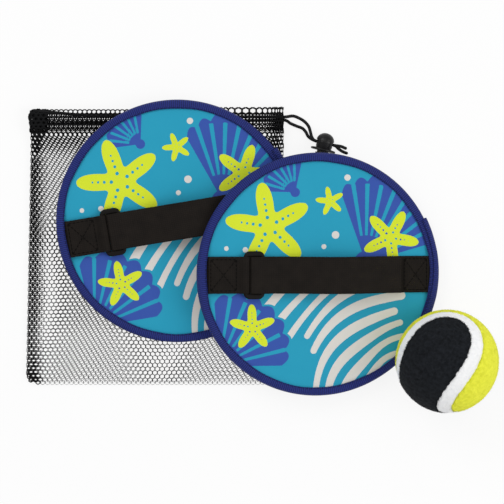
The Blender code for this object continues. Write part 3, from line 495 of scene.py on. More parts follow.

# %% [markdown]
# The tube is then declared as a cord, together with the lock's pieces that it passes through.

# %% The cord's finish
# Spun polyester, braided and dyed black: dull, with a faint highlight on each crossing
cord_finish = grained(
    "braided_polyester", "#050506", "#141416", 2600.0, 2.0, 0.35, 0.2,
    Roughness=0.62, Specular_IOR_Level=0.2, Sheen_Weight=0.03,
)
rings, round_it = braided_tube(cord_line, cord_stops, CORD)
shape = skin(rings, loop_columns=True, caps=True, u=cord_stops, v=round_it)
cord = make_piece("braided_cord", shape, cord_finish, replaced=["drawstring"])

# %% [markdown]
# ## The printed panels
# Each paddle's front is neoprene foam with a printed jersey face. The print is a screen print in flat
# colours, so each colour is stored as a signed distance in millimetres: positive inside its shapes,
# negative outside. The material turns the distance into a sharp edge, and that stays crisp on a grid
# much coarser than the print. The motifs are plain seaside shapes: ripples, scallop fans and stars.

# %% Distances to the print's shapes, in millimetres
def dot_distance(x, y, centre, radius):
    """Inside distance of a round dot."""
    return radius - np.hypot(x - centre[0], y - centre[1])


def ripple_distance(x, y, centre, radius, start, end, half):
    """Inside distance of a band bent round a centre, from one bearing to another, with round ends."""
    angle = np.arctan2(y - centre[1], x - centre[0]) % (2 * math.pi)
    nearest = np.clip(angle, start, end)
    wave = radius + 1.6 * np.sin(5 * nearest + radius / 9)
    px, py = centre[0] + wave * np.cos(nearest), centre[1] + wave * np.sin(nearest)
    swell = half * (1 + 0.25 * np.sin(4 * nearest + radius / 13))
    return swell - np.hypot(x - px, y - py)


def fan_distance(x, y, hinge, radius, bearing, opening, ribs):
    """A scallop: an opening angle out to a rim of lobes, and what is left of it between grooves."""
    dx, dy = x - hinge[0], y - hinge[1]
    far = np.hypot(dx, dy)
    turn = (np.arctan2(dy, dx) - bearing + math.pi) % (2 * math.pi) - math.pi
    lobe = np.abs(np.cos((turn / opening * ribs + ribs - 1) * math.pi / 2))
    rim = radius * (0.93 + 0.07 * lobe) * (1 - 0.14 * (turn / opening) ** 2)
    whole = np.minimum(rim - far, far * np.sin(np.clip(opening - np.abs(turn), -1.5, 1.5)))
    whole = np.maximum(whole, dot_distance(x, y, hinge, 0.13 * radius))
    pitch = 2 * opening / ribs
    beside = np.abs((turn + opening + pitch / 2) % pitch - pitch / 2)
    ends = np.minimum(far - 0.3 * radius, 0.87 * radius - far)
    groove = np.minimum(0.6 + 0.017 * far - far * beside, ends)
    groove = np.where(np.abs(turn) < opening - pitch / 2, groove, -9.0)  # none past the outer ribs
    return whole, np.minimum(whole, -groove)


def star_distance(x, y, centre, radius, bearing, arms=5, waist=0.36):
    """A starfish: its rim swings between waist and tip as a power of the cosine of the bearing."""
    dx, dy = x - centre[0], y - centre[1]
    turn = np.arctan2(dy, dx) - bearing
    swing = np.abs(np.cos(arms * turn / 2)) ** 2.6
    rim = radius * (waist + (1 - waist) * swing)
    body = (rim - np.hypot(dx, dy)) * 0.55
    for k in range(arms):
        a = bearing + 2 * math.pi * k / arms
        for share in (0.2, 0.36, 0.5, 0.63):
            dot_x = centre[0] + radius * share * math.cos(a)
            dot_y = centre[1] + radius * share * math.sin(a)
            size = 0.040 * radius * (1.25 - share)
            body = np.minimum(body, np.hypot(x - dot_x, y - dot_y) - size)
    return body


# Places and sizes are in the paddle's own millimetres, and bearings in degrees
FANS = [((33, 8), 62, 63, 47, 9), ((-68, -62), 54, 47, 47, 7), ((-16, 56), 25, 128, 50, 7)]
DOTS = [
    ((-58, 8), 3.0), ((-50, 17), 1.9), ((-63, 18), 1.6), ((12, 27), 2.6), ((4, 19), 1.7), ((20, 66), 2.2)
]
STARS = [((-34, 33), 30, 100), ((50, 25), 20, 62), ((-45, -36), 16, 20), ((8, 50), 10, 30)]
RIPPLES, RIPPLE_CENTRE, RIPPLE_TOP, FAR_OUT = 11, (66.0, -92.0), -9.0, -9.0


def print_layers(x, y):
    """The three printed colours over the turquoise ground, each as a signed distance."""
    pale, blue, lime, shells = np.full((4, *x.shape), FAR_OUT)
    for hinge, radius, bearing, opening, ribs in FANS:
        turned, half_open = math.radians(bearing), math.radians(opening)
        whole, ribbed = fan_distance(x, y, hinge, radius, turned, half_open, ribs)
        shells, blue = np.maximum(shells, whole), np.maximum(blue, ribbed)
    for k in range(RIPPLES):
        start = math.radians(96 + 2.5 * (k % 3))
        end = math.radians(178 - 3.0 * (k % 4) - 1.2 * k - 15 * (k > 5))
        pale = np.maximum(pale, ripple_distance(x, y, RIPPLE_CENTRE, 17 + 10.4 * k, start, end, 2.7))
    pale = np.minimum(pale, RIPPLE_TOP - y)
    for place, size in DOTS:
        pale = np.maximum(pale, dot_distance(x, y, place, size))
    pale = np.minimum(pale, -1.6 - shells)
    for place, radius, bearing in STARS:
        lime = np.maximum(lime, star_distance(x, y, place, radius, math.radians(bearing)))
    return {"pale": pale, "blue": blue, "lime": lime}


# %% Neoprene with its printed jersey
PANEL_TOP, TAPE_EDGE = 6.9 * MM, 77.0 * MM
JERSEY_PITCH = 0.9 * MM  # the real loops are 0.4 mm; drawn coarser, so that they show


def polar(radius, angle, height):
    """Points at a distance out, a bearing and a height."""
    return as_points(radius * np.cos(angle), radius * np.sin(angle), height)


def past(distance, limit, fade):
    """From 0 at the limit to 1 at a fade's width past it; limit and fade are in millimetres."""
    return smooth_step((distance - limit * MM) / (fade * MM))


def panel_shape():
    """Rings of points: out under the rim, up round it and in over the face; caps close both ends."""
    angle = bearings(400)
    r = np.concatenate([np.linspace(79.5, 77, 4), np.linspace(76.3, 0.4, 124)])[:, None] * MM
    puff = 0.22 * MM * np.clip((TAPE_EDGE - r) / (9 * MM), 0, 1) ** 0.5 - 0.25 * MM
    dimple = 0.05 * MM * np.sin(9 * angle + 40 * r / (80 * MM)) * past(r, 45, 30)
    rim_radius = np.array([[76.0], [79.7], [80.1], [80.1]]) * MM
    rim_height = np.array([[4.4], [4.4], [4.8], [6.2]]) * MM
    face = polar(r, angle, PANEL_TOP + puff + dimple)
    return np.concatenate([polar(rim_radius, angle, rim_height), face])


# Jersey over foam: matt, with a faint knit, and ink that sinks in so its edges stay level
neoprene, tree, shader = new_material(
    "printed_neoprene", Roughness=0.7, Specular_IOR_Level=0.15, Sheen_Weight=0.04, Sheen_Roughness=0.5
)
spot = add(tree, "ShaderNodeTexCoord").outputs["Object"]
soft = add(tree, "ShaderNodeTexNoise", {"Vector": spot, "Scale": 60.0, "Detail": 3.0}).outputs["Fac"]
fine = add(tree, "ShaderNodeTexNoise", {"Vector": spot, "Scale": 1900.0, "Detail": 1.0}).outputs["Fac"]
ground = {0: soft, 6: "#259ABB", 7: "#2A9FBF"}
colour = add(tree, "ShaderNodeMix", ground, data_type="RGBA").outputs[2]
INKS = {"pale": ("#DAD7D2", "#E0DDD8"), "blue": ("#3552A6", "#3A59AC"), "lime": ("#D3E22C", "#DAE836")}
for ink, (darker, lighter) in INKS.items():
    distance = add(tree, "ShaderNodeAttribute", attribute_name=ink).outputs["Fac"]
    fringe = add(tree, "ShaderNodeMath", {0: fine, 1: 0.5, 2: distance}, operation="MULTIPLY_ADD")
    limits = {0: fringe.outputs[0], 1: 0.13, 2: 0.37}
    edge = add(tree, "ShaderNodeMapRange", limits, interpolation_type="SMOOTHSTEP").outputs[0]
    tint = add(tree, "ShaderNodeMix", {0: soft, 6: darker, 7: lighter}, data_type="RGBA").outputs[2]
    colour = add(tree, "ShaderNodeMix", {0: edge, 6: colour, 7: tint}, data_type="RGBA").outputs[2]
feed(tree, colour, shader, "Base Color")
loops = {"Vector": spot, "Scale": 1 / JERSEY_PITCH, "Randomness": 0.35}
knit = add(tree, "ShaderNodeTexVoronoi", loops).outputs["Distance"]
bump = add(tree, "ShaderNodeBump", {"Strength": 0.22, "Distance": 0.12 * MM, "Height": knit})
feed(tree, bump.outputs["Normal"], shader, "Normal")

panel_grid = panel_shape()
flat_x, flat_y = (panel_grid[..., k].ravel() / MM for k in (0, 1))
# The two caps' middle points follow the grid's, and lie outside every ink
inks = {ink: np.append(far, [FAR_OUT] * 2) for ink, far in print_layers(flat_x, flat_y).items()}
for side in PADDLES:
    panel = paddle_piece(
        side, "printed_panel", panel_grid, neoprene, "neoprene", "front_panel", caps=True, values=inks
    )

# %% [markdown]
# ## The edge tape
# A ribbed polyester tape is folded over the rim and sewn through both faces. It starts at the lower
# right, goes once round and laps over its own start, where it stands off a little. Its section is the
# fold itself, carried round the rim: out along the upper face, round the bulge and back underneath.

# %% Edge tape
RIM, RIM_DEPTH, TAPE, PADDLE_DEEP = 83.0 * MM, 2.6 * MM, 0.8 * MM, 8.0 * MM
TAPE_START, TAPE_END, TAPE_CLIMB = math.radians(-22), math.radians(387), math.radians(298)
RIB_PITCH = 1.4 * MM
WEB, WEB_DEEP = 25.0 * MM, 1.2 * MM


def tape_shape():
    """Each ring is the folded section at one bearing; the lap climbs over the start and narrows."""
    angle = np.linspace(TAPE_START, TAPE_END, 520)[:, None]
    lap_from = TAPE_START + 2 * math.pi
    loose = np.clip((angle - lap_from) / (TAPE_END - lap_from), 0, 1)
    lap = 0.92 * MM * smooth_step((angle - TAPE_CLIMB) / (lap_from - TAPE_CLIMB))
    wander = 0.22 * MM * np.sin(7 * angle + 1) + 0.12 * MM * np.sin(17 * angle)
    edge = TAPE_EDGE + lap + 3.4 * MM * loose + wander * (1 - loose)
    half = PADDLE_DEEP / 2
    bend = RIM - RIM_DEPTH
    out, up = [], []
    for inset, forward in ((0.0, True), (TAPE, False)):
        reach = RIM_DEPTH - inset + lap + 0.8 * MM * loose
        tall = half - inset + lap
        turn = np.radians(np.linspace(90, -90, 17))[None, :]
        leg = np.linspace(0.0, 1.0, 6)[None, :-1]
        round_off = 0.3 * MM * (1 - np.minimum(leg / 0.25, 1)) ** 2 * (1 if forward else -1)
        leg_out = edge + (bend - edge) * leg
        crown = 0.1 * MM * np.sin(leg * math.pi) * forward
        leg_up = half + tall - round_off + crown
        o = [leg_out, bend + reach * np.cos(turn), leg_out[:, ::-1]]
        u = [leg_up, half + tall * np.sin(turn), (2 * half - leg_up)[:, ::-1]]
        o, u = np.concatenate(o, axis=1), np.concatenate(u, axis=1)
        out.append(o if forward else o[:, ::-1])
        up.append(u if forward else u[:, ::-1])
    out, up = np.concatenate(out, axis=1), np.concatenate(up, axis=1)
    across = np.abs(np.sin(angle)) * TAPE_EDGE
    lift = (WEB_DEEP + 0.3 * MM) * (1 - smooth_step((across - WEB / 2 - 0.3 * MM) / (9 * MM)))
    up = up + lift * smooth_step((up - half) / (half - TAPE))
    points = polar(out, angle, up)
    return points, angle[:, 0] * RIM, walked(points[0])


# Polyester grosgrain: ribs across its length, raised by the bump, whose crests are painted a lighter blue
# as a painted highlight, and one line of stitches per leg
grosgrain, tree, shader = new_material(
    "polyester_grosgrain", Roughness=0.62, Specular_IOR_Level=0.2, Sheen_Weight=0.02
)
chart = add(tree, "ShaderNodeUVMap", uv_map="UVMap").outputs["UV"]
across = {"Vector": chart, "Scale": wave_scale(RIB_PITCH), "Distortion": 0.0}
ribs = add(tree, "ShaderNodeTexWave", across).outputs["Fac"]
spot = add(tree, "ShaderNodeTexCoord").outputs["Object"]
cloud = add(tree, "ShaderNodeTexNoise", {"Vector": spot, "Scale": 90.0, "Detail": 4.0}).outputs["Fac"]
dark = add(tree, "ShaderNodeMix", {0: cloud, 6: "#111949", 7: "#18225E"}, data_type="RGBA").outputs[2]
# Painted highlight: the rib wave mixes the blue towards the lighter #253282 on each rib's crest
light = add(tree, "ShaderNodeMix", {0: ribs, 6: dark, 7: "#253282"}, data_type="RGBA").outputs[2]
feed(tree, light, shader, "Base Color")
bump = add(tree, "ShaderNodeBump", {"Strength": 0.9, "Distance": 0.3 * MM, "Height": ribs})
feed(tree, bump.outputs["Normal"], shader, "Normal")

tape_points, tape_run, tape_round = tape_shape()
for side in PADDLES:
    paddle_piece(
        side, "bound_edge", tape_points, grosgrain, "edge_tape", "edge_tape",
        caps=True, u=tape_run, v=tape_round,
    )

# %% [markdown]
# ## Straps
# The hand strap and the tab that holds its ring are 25 mm polypropylene webbing. A webbing is a flat
# ribbon whose edges are rounded by the turning weft, so its section is a flat oblong with half-round
# ends. It is carried along the same path as the CAD strap: out from under the tape, over the hand's
# bow, round the ring and back, held by the hook and loop patches between its two layers.

# %% The strap's and the tab's paths
RING_X, RING_LONG, RING_WIDE, WIRE = -44.4 * MM, 32.6 * MM, 14.4 * MM, 2.6 * MM
WEB_LEVEL, WEB_END, FOLD = 7.8 * MM, 78.3 * MM, 2.2 * MM
RING_LEVEL, PATCH_STACK, BAR = 10.0 * MM, 3.7 * MM, 5.9 * MM
SEWN, GAP = 21.0 * MM, 0.3 * MM


def lower_height(x):
    """The lower layer bows up by 8 mm, as half of one minus a cosine, from the ring to the stitching."""
    start, finish = RING_X + RING_WIDE / 2 + 8 * MM, WEB_END - SEWN
    share = np.clip((x - start) / (finish - start), 0, 1)
    return WEB_LEVEL + 8.0 * MM * (1 - np.cos(2 * math.pi * share)) / 2


def upper_height(x):
    """The upper layer closes from the fold's height down to that of the patches."""
    near = RING_X + RING_WIDE / 2
    closing = smooth_step((x - near) / (16 * MM))
    return lower_height(x) + 2 * FOLD + (PATCH_STACK - 2 * FOLD) * closing


def pressed_circle(angle, size):
    """Points on a superellipse, |x|^3 + |z|^3 = size^3: a circle pressed towards a square."""
    c, s = np.cos(angle), np.sin(angle)
    reach = size / (np.abs(c) ** 3 + np.abs(s) ** 3) ** (1 / 3)
    return reach * c, reach * s


def half_turn(x, height, start, end):
    """Half of a pressed circle: a fold of the webbing, flat against its neighbour."""
    out, up = pressed_circle(np.radians(np.linspace(start, end, 21))[1:-1], FOLD)
    return as_points(x + out, height + np.clip(up, -FOLD, FOLD))


def stretch(start, end, height):
    """A run of points from start to end, each at the height that goes with its place."""
    x = np.linspace(start, end, max(3, round(abs(end - start) / (0.9 * MM))))
    return as_points(x, height(x))


def strap_line():
    """From the sewn end to the ring's near bar, round it and back to the free end."""
    turn = RING_X - BAR + WIRE / 2 + GAP + 1.5 * WEB_DEEP + FOLD + 0.06 * MM
    fold = half_turn(turn, RING_LEVEL, -90, -270)
    back = stretch(turn, WEB_END - SEWN - GAP, upper_height)
    return np.concatenate([stretch(WEB_END, turn, lower_height), fold, back])


def tab_line():
    """From under the tape to the ring's far bar, round it and back over itself."""
    bar, rest = RING_X - BAR, WEB_LEVEL + WEB_DEEP + GAP

    def over(x):
        """From the lower layer up to the fold's height, just before the bar."""
        return rest + (RING_LEVEL + FOLD - rest) * smooth_step((x - bar + 2 * WIRE) / (2 * WIRE))

    under, fold = stretch(-WEB_END, bar, lambda x: WEB_LEVEL), half_turn(bar, RING_LEVEL, -90, 90)
    return np.concatenate([under, fold, stretch(bar, -(TAPE_EDGE - 1.4 * MM), over)])


def ribbon(line, deep, wide):
    """Rings of a rounded flat section across the line, which runs in the XZ plane."""
    slope = unit(np.gradient(line, axis=0))
    flat = np.linspace(-1, 1, 12)
    half, side = deep / 2, wide / 2 - deep / 2
    turn = np.radians(np.linspace(90, -90, 7))[1:-1]
    bend_out, bend_up = side + half * np.cos(turn), half * np.sin(turn)
    across = np.concatenate([flat * side, bend_out, -flat * side, -bend_out])
    off = np.concatenate([np.full(12, half), bend_up, np.full(12, -half), -bend_up])
    x = line[:, None, 0] - slope[:, None, 1] * off
    z = line[:, None, 1] + slope[:, None, 0] * off
    return as_points(x, across, z), walked(line), walked(as_points(across, off))


# %% Webbing
WEFT_PITCH, WARP_PITCH = 1.5 * MM, 1.3 * MM  # the real yarns are 0.9 mm apart; drawn coarser to show
# Polypropylene webbing: dull black yarns in a plain weave, with ribs along and across the band. The
# colour follows the weave's relief, so the yarn crests are a painted highlight over a random cloudy tone
webbing, tree, shader = new_material(
    "polypropylene_webbing", Roughness=0.72, Specular_IOR_Level=0.12, Sheen_Weight=0.01
)
chart = add(tree, "ShaderNodeUVMap", uv_map="UVMap").outputs["UV"]
yarns = {"Vector": chart, "Scale": wave_scale(WEFT_PITCH), "Distortion": 0.6}
weft = add(tree, "ShaderNodeTexWave", yarns).outputs["Fac"]
yarns = {"Vector": chart, "Scale": wave_scale(WARP_PITCH), "Distortion": 0.4}
warp = add(tree, "ShaderNodeTexWave", yarns, bands_direction="Y").outputs["Fac"]
weave = add(tree, "ShaderNodeMath", {0: weft, 1: warp}, operation="MULTIPLY").outputs[0]
spot = add(tree, "ShaderNodeTexCoord").outputs["Object"]
cloud = add(tree, "ShaderNodeTexNoise", {"Vector": spot, "Scale": 130.0, "Detail": 4.0}).outputs["Fac"]
# Painted highlight on the weave's raised crossings, plus a random cloudy tone
crest_highlight_and_tone = add(tree, "ShaderNodeMath", {0: weave, 1: 0.6, 2: cloud}, operation="MULTIPLY_ADD").outputs[0]
yarn = add(tree, "ShaderNodeMix", {0: crest_highlight_and_tone, 6: "#090706", 7: "#1F1A16"}, data_type="RGBA").outputs[2]
feed(tree, yarn, shader, "Base Color")
bump = add(tree, "ShaderNodeBump", {"Strength": 0.6, "Distance": 0.2 * MM, "Height": weave})
feed(tree, bump.outputs["Normal"], shader, "Normal")

BANDS = (("hand_webbing", "hand_strap", strap_line()), ("ring_tab", "anchor_tab", tab_line()))
for side in PADDLES:
    for name, node, line in BANDS:
        grid, band_run, band_round = ribbon(line, WEB_DEEP, WEB)
        paddle_piece(side, name, grid, webbing, "webbing", node, caps=True, u=band_run, v=band_round)

# %% [markdown]
# Each fixed end of the webbing is sewn with a box and a cross. A stitch is a short thread that dips
# into the cloth at both ends, so each is a small bead drawn out along the seam. All stitches of a
# paddle are one piece, copied along the lines as whole arrays.

# %% Box and cross stitches
STITCH, THREAD, STITCH_STEP = 2.2 * MM, 0.46 * MM, 2.7 * MM


def stitch_places(points):
    """Places spaced evenly along a line of points in metres, and the line's direction at each."""
    far = walked(points)
    count = max(1, round(far[-1] / STITCH_STEP))
    stops = (np.arange(count) + 0.5) / count * far[-1]
    behind, centre, ahead = (picked(points, far, stops + shift) for shift in (-0.2 * MM, 0, 0.2 * MM))
    return centre, unit(ahead - behind)


def beads(lines, up):
    """One bead per stitch: its radius falls to the ends as the root of 1 - t^4, and both ends dip."""
    centre, run = (np.concatenate(part) for part in zip(*(stitch_places(line) for line in lines)))
    up = np.array(up, float)
    aside = np.cross(up, run)
    t = np.linspace(-1, 1, 7)
    radius = THREAD / 2 * np.sqrt(np.clip(1 - t**4, 0.04, 1))
    angle = bearings(6)
    dip = (0.1 - 0.12 * t**2)[:, None] * MM
    spine = centre[:, None] + run[:, None] * (t * STITCH / 2)[:, None] + up * dip
    ring = aside[:, None] * np.cos(angle)[:, None] + up * np.sin(angle)[:, None]
    return spine[:, :, None] + ring[:, None] * radius[:, None, None]


def sewn(places, put):
    """The beads as one shape, each put in its place first."""
    return joined([skin(put(bead), loop_columns=True, caps=True) for bead in places])


def sew_paddles(name, places, finish):
    """The same stitches on both paddles."""
    for side in PADDLES:
        make_piece(f"{side}_{name}", sewn(places, lambda bead: in_paddle(side, bead)), finish)


def box_and_cross(x1, x2, y, z):
    """Six lines of stitches: the four sides of a box and its two diagonals."""
    a, b, c, d = (x1, -y, z), (x2, -y, z), (x2, y, z), (x1, y, z)
    return [np.array(pair) * MM for pair in ((a, b), (b, c), (c, d), (d, a), (a, c), (b, d))]


# Spun polyester thread: black, dull, with a twist that breaks up the light. Its black is deeper than the
# webbing's, so the stitches also paint the shade of the grooves they sink into
thread = grained(
    "polyester_thread", "#020202", "#0A0908", 3500.0, 1.0, 0.4, 0.1, Roughness=0.6,
    Specular_IOR_Level=0.05,
)
TAB_TOP, STRAP_TOP = 9.9, 8.4  # millimetres over the tape's underside
box_beads = beads(
    box_and_cross(-74.0, -56.6, 10.6, TAB_TOP) + box_and_cross(59.5, 75.0, 10.6, STRAP_TOP), (0, 0, 1)
)
sew_paddles("box_stitches", box_beads, thread)

# %% Stitches of the edge tape
# The same thread in a blue a little darker than the tape's: two rows through the fold, one seen from each
# face. The upper row runs close to the tape's inner edge, where its darker blue also paints the shade
# line along that edge
navy_thread = grained(
    "navy_polyester_thread", "#0D1133", "#1A2158", 3500.0, 1.0, strength=0, Roughness=0.5,
    Specular_IOR_Level=0.2,
)
UPPER_ROW, UNDER_ROW = 1, 25  # columns of the tape's section, a fifth of the way out on each leg
tape_beads = np.concatenate(
    [beads([tape_points[:, UPPER_ROW]], (0, 0, 1)), beads([tape_points[:, UNDER_ROW]], (0, 0, -1))]
)
sew_paddles("tape_stitches", tape_beads, navy_thread)

# %% [markdown]
# ## The rings
# A rectangular loop of moulded plastic takes the strap. Its wire is a rounded square section carried
# round a rectangle with round corners, and it is matt from the mould.

# %% Strap rings
def ring_shape():
    """A closed sweep of the pressed circle, whose inner half is about twice as wide at the ends."""
    corner = 2.9 * MM
    x, y = RING_WIDE / 2 - WIRE / 2 - corner, RING_LONG / 2 - WIRE / 2 - corner
    path, out = [], []
    for cx, cy, start in ((x, y, 0), (-x, y, 90), (-x, -y, 180), (x, -y, 270)):
        a = np.radians(np.linspace(start, start + 90, 9))
        arc = as_points(np.cos(a), np.sin(a))
        path.append(np.array([cx, cy]) + corner * arc)
        out.append(arc)
    path, out = np.concatenate(path), np.concatenate(out)
    wide, high = pressed_circle(bearings(20), WIRE / 2)
    broad = np.where(wide < 0, 1 + 1.15 * np.abs(out[:, 1:]), 1.0)
    plan = path[:, None] + out[:, None] * (broad * wide)[..., None]
    return as_points(plan[..., 0] + RING_X, plan[..., 1], RING_LEVEL + high)


def moulding(name, dark, light, gloss, dull):
    """Moulded plastic with its mould's fine grain: gloss is how much it mirrors, dull how blurred."""
    material, tree, shader = new_material(name, Specular_IOR_Level=gloss)
    spot = add(tree, "ShaderNodeTexCoord").outputs["Object"]
    sizes = {"Vector": spot, "Scale": 1800.0, "Detail": 3.0}
    grit = add(tree, "ShaderNodeTexNoise", sizes).outputs["Fac"]
    wear = add(tree, "ShaderNodeMapRange", {0: grit, 3: dull - 0.08, 4: dull + 0.08}).outputs[0]
    feed(tree, wear, shader, "Roughness")
    tone = add(tree, "ShaderNodeMix", {0: grit, 6: dark, 7: light}, data_type="RGBA").outputs[2]
    feed(tree, tone, shader, "Base Color")
    bump = add(tree, "ShaderNodeBump", {"Strength": 0.15, "Distance": 0.06 * MM, "Height": grit})
    feed(tree, bump.outputs["Normal"], shader, "Normal")
    return material


# Acetal for the rings: nearly as dull as the webbing. Nylon for the lock: smoother, with a soft shine
ring_plastic = moulding("moulded_acetal", "#0E0C0B", "#171412", 0.12, 0.5)
lock_plastic = moulding("moulded_nylon", "#070708", "#0F0F10", 0.3, 0.38)

for side in PADDLES:
    paddle_piece(
        side, "moulded_ring", ring_shape(), ring_plastic, "black_plastic", "strap_ring", loop_rows=True
    )

# %% [markdown]
# ## The ball
# A rubber core under two felt panels, black and yellow, that meet along a white seam like a tennis
# ball's. The seam is a closed curve on the sphere with two lobes each way. Each panel is skinned from
# tip to tip over arcs that cross it from border to border, and its surface is pushed in and out by a
# sum of sine waves in many directions, as brushed felt is uneven everywhere and nowhere repeats.

# %% The seam on the sphere
BALL, FELT, SEAM_WIDE, SEAM_LOBE = 34.8 * MM, 1.2 * MM, 10.2 * MM, 0.208
BALL_CENTRE = np.array(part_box("ball_core")).mean(axis=0)
TURN_X_Y_Z = np.radians([84.0, 20.5, -40.0])


def ball_axes():
    """Rz Ry Rx as a matrix."""
    (cx, cy, cz), (sx, sy, sz) = np.cos(TURN_X_Y_Z), np.sin(TURN_X_Y_Z)
    about_x = np.array([[1, 0, 0], [0, cx, -sx], [0, sx, cx]])
    about_y = np.array([[cy, 0, sy], [0, 1, 0], [-sy, 0, cy]])
    about_z = np.array([[cz, -sz, 0], [sz, cz, 0], [0, 0, 1]])
    return about_z @ about_y @ about_x


def beside_seam(t, offset):
    """The seam is (a cos t + b cos 3t, a sin t - b sin 3t, 2 sqrt(ab) sin 2t); offset goes across it."""
    a, b = 1 - SEAM_LOBE, SEAM_LOBE
    c = 2 * math.sqrt(a * b)
    point = as_points(
        a * np.cos(t) + b * np.cos(3 * t), a * np.sin(t) - b * np.sin(3 * t), c * np.sin(2 * t)
    )
    run = as_points(
        -a * np.sin(t) - 3 * b * np.sin(3 * t),
        a * np.cos(t) - 3 * b * np.cos(3 * t),
        2 * c * np.cos(2 * t),
    )
    point = unit(point)
    angle = np.asarray(offset)[..., None] / BALL
    return unit(point * np.cos(angle) + np.cross(point, unit(run)) * np.sin(angle))


def uneven(directions, seed, low=30.0, high=170.0, waves=36):
    """A sum of sine waves of random direction and pitch, about from -1 to 1."""
    rng = np.random.default_rng(seed)
    axes = unit(rng.normal(size=(waves, 3))) * rng.uniform(low, high, (waves, 1))
    phase = rng.uniform(0, 2 * math.pi, waves)
    return np.sin(directions @ axes.T + phase).sum(axis=-1) / math.sqrt(waves)


def ragged(t, side):
    """How a cut felt border wanders along the seam: four sines, about from -1 to 1."""
    return sum(np.sin(k * t + side * k) for k in (23, 41, 67, 97)) / 2.6


def felt_directions(side, turn, across):
    """Unit vectors at a share of the way across the panel, along the great arc from border to border."""
    tip = math.pi / 2 + side * math.pi / 4
    left, right = (
        beside_seam(t, side * (SEAM_WIDE / 2 + 0.1 * MM + 0.42 * MM * ragged(t, side)))
        for t in (tip - turn, tip + turn)
    )
    wide = np.arccos(np.clip((left * right).sum(axis=-1), -1, 1))[..., None]
    share = np.asarray(across)[..., None]
    between = np.sin((1 - share) * wide) * left + np.sin(share * wide) * right
    return between / np.sin(wide), wide[..., 0]


def on_ball(directions, radius):
    """Points at a radius in each direction from the ball's centre, turned as the ball lies."""
    return (directions * np.asarray(radius)[..., None]) @ ball_axes().T + BALL_CENTRE


# %% Felt panels, seam band and fuzz
def felt_shape(side, seed):
    """Closed sections from tip to tip: the outer arc with rolled borders, then the inner arc back."""
    turn = np.linspace(0.035, math.pi - 0.035, 300)[:, None]
    out_share = (1 - np.cos(np.linspace(0, math.pi, 44))) / 2
    share = np.concatenate([out_share, np.linspace(1, 0, 9)])[None, :]
    directions, wide = felt_directions(side, turn, share)
    border = np.minimum(share, 1 - share) * wide * BALL
    roll = np.clip(1 - border / (1.1 * MM), 0, 1)
    lumps = 0.16 * MM * uneven(directions, seed) * (1 - roll)
    outer = BALL - 0.9 * MM * (1 - np.sqrt(1 - roll**2)) + lumps
    radius = np.where(np.arange(share.size)[None, :] < 44, outer, BALL - FELT)
    return skin(on_ball(directions, radius), loop_columns=True, caps=True)


def seam_shape():
    """A closed band: sections across the seam, crowned, with a slightly uneven outer face."""
    t = bearings(420)[:, None]
    share = np.concatenate([np.linspace(-1, 1, 15), np.linspace(1, -1, 4)])[None, :]
    directions = beside_seam(t, share * (SEAM_WIDE + 1.1 * MM) / 2)
    crown = BALL - 0.35 * MM - 0.6 * MM * np.abs(share) ** 6 + 0.1 * MM * uneven(directions, 5)
    radius = np.where(np.arange(share.size)[None, :] < 15, crown, BALL - FELT)
    return skin(on_ball(directions, radius), loop_rows=True, loop_columns=True)


def fuzz_shape(directions, seed, long):
    """One thin three-sided spike per fibre, leaning a random way; its base sits inside the felt."""
    rng = np.random.default_rng(seed)
    count = len(directions)
    lean = unit(np.cross(directions, rng.normal(size=(count, 3))))
    other = np.cross(directions, lean)
    length = long * rng.uniform(0.55, 1.25, count)[:, None]
    base = directions * (BALL - 0.35 * MM)
    tip = base + unit(directions + lean * rng.uniform(0.4, 1.7, (count, 1))) * length
    thick = 0.085 * MM
    turn = np.radians([0, 120, 240])
    ring = [base + thick * (lean * math.cos(a) + other * math.sin(a)) for a in turn]
    points = np.stack(ring + [tip], axis=1) @ ball_axes().T + BALL_CENTRE
    points = points[points[..., 2].min(axis=1) > 0]
    sides = np.array([[0, 1, 3], [1, 2, 3], [2, 0, 3], [0, 2, 1]])
    faces = (np.arange(len(points))[:, None, None] * 4 + sides).reshape(-1, 3)
    return points.reshape(-1, 3), [faces], [np.zeros((len(faces), 3, 2))]


def felt_fibres(side, count, seed):
    """Seeds spread over the panel in step with its width, and a denser row along its borders."""
    rng = np.random.default_rng(seed)
    turn = rng.uniform(0.03, math.pi - 0.03, count * 2)
    share = rng.uniform(0, 1, count * 2)
    near = rng.uniform(size=count * 2) < 0.16
    share = np.where(near, np.where(share < 0.5, share * 0.05, 1 - (1 - share) * 0.05), share)
    directions, wide = felt_directions(side, turn, share)
    kept = rng.uniform(size=count * 2) < np.maximum(wide / wide.max(), 0.25)
    return directions[kept][:count]


def felt_material(name, dark, light):
    """Brushed polyester felt: the colour clumps with the fibres, and a sheen lights its edges."""
    material, tree, shader = new_material(
        name, Roughness=0.95, Specular_IOR_Level=0.1, Sheen_Weight=0.02, Sheen_Roughness=0.6
    )
    spot = add(tree, "ShaderNodeTexCoord").outputs["Object"]
    sizes = {"Vector": spot, "Scale": 420.0, "Detail": 5.0, "Roughness": 0.7}
    clump = add(tree, "ShaderNodeTexNoise", sizes).outputs["Fac"]
    spread = add(tree, "ShaderNodeMapRange", {0: clump, 1: 0.32, 2: 0.68}).outputs[0]
    tint = add(tree, "ShaderNodeMix", {0: spread, 6: dark, 7: light}, data_type="RGBA").outputs[2]
    feed(tree, tint, shader, "Base Color")
    bump = add(tree, "ShaderNodeBump", {"Strength": 0.8, "Distance": 0.6 * MM, "Height": clump})
    feed(tree, bump.outputs["Normal"], shader, "Normal")
    return material


black_felt = felt_material("black_brushed_felt", "#0E1013", "#212429")
yellow_felt = felt_material("yellow_brushed_felt", "#E3E63A", "#F8F94E")
white_felt = felt_material("white_seam_felt", "#F6F7F9", "#FFFFFF")
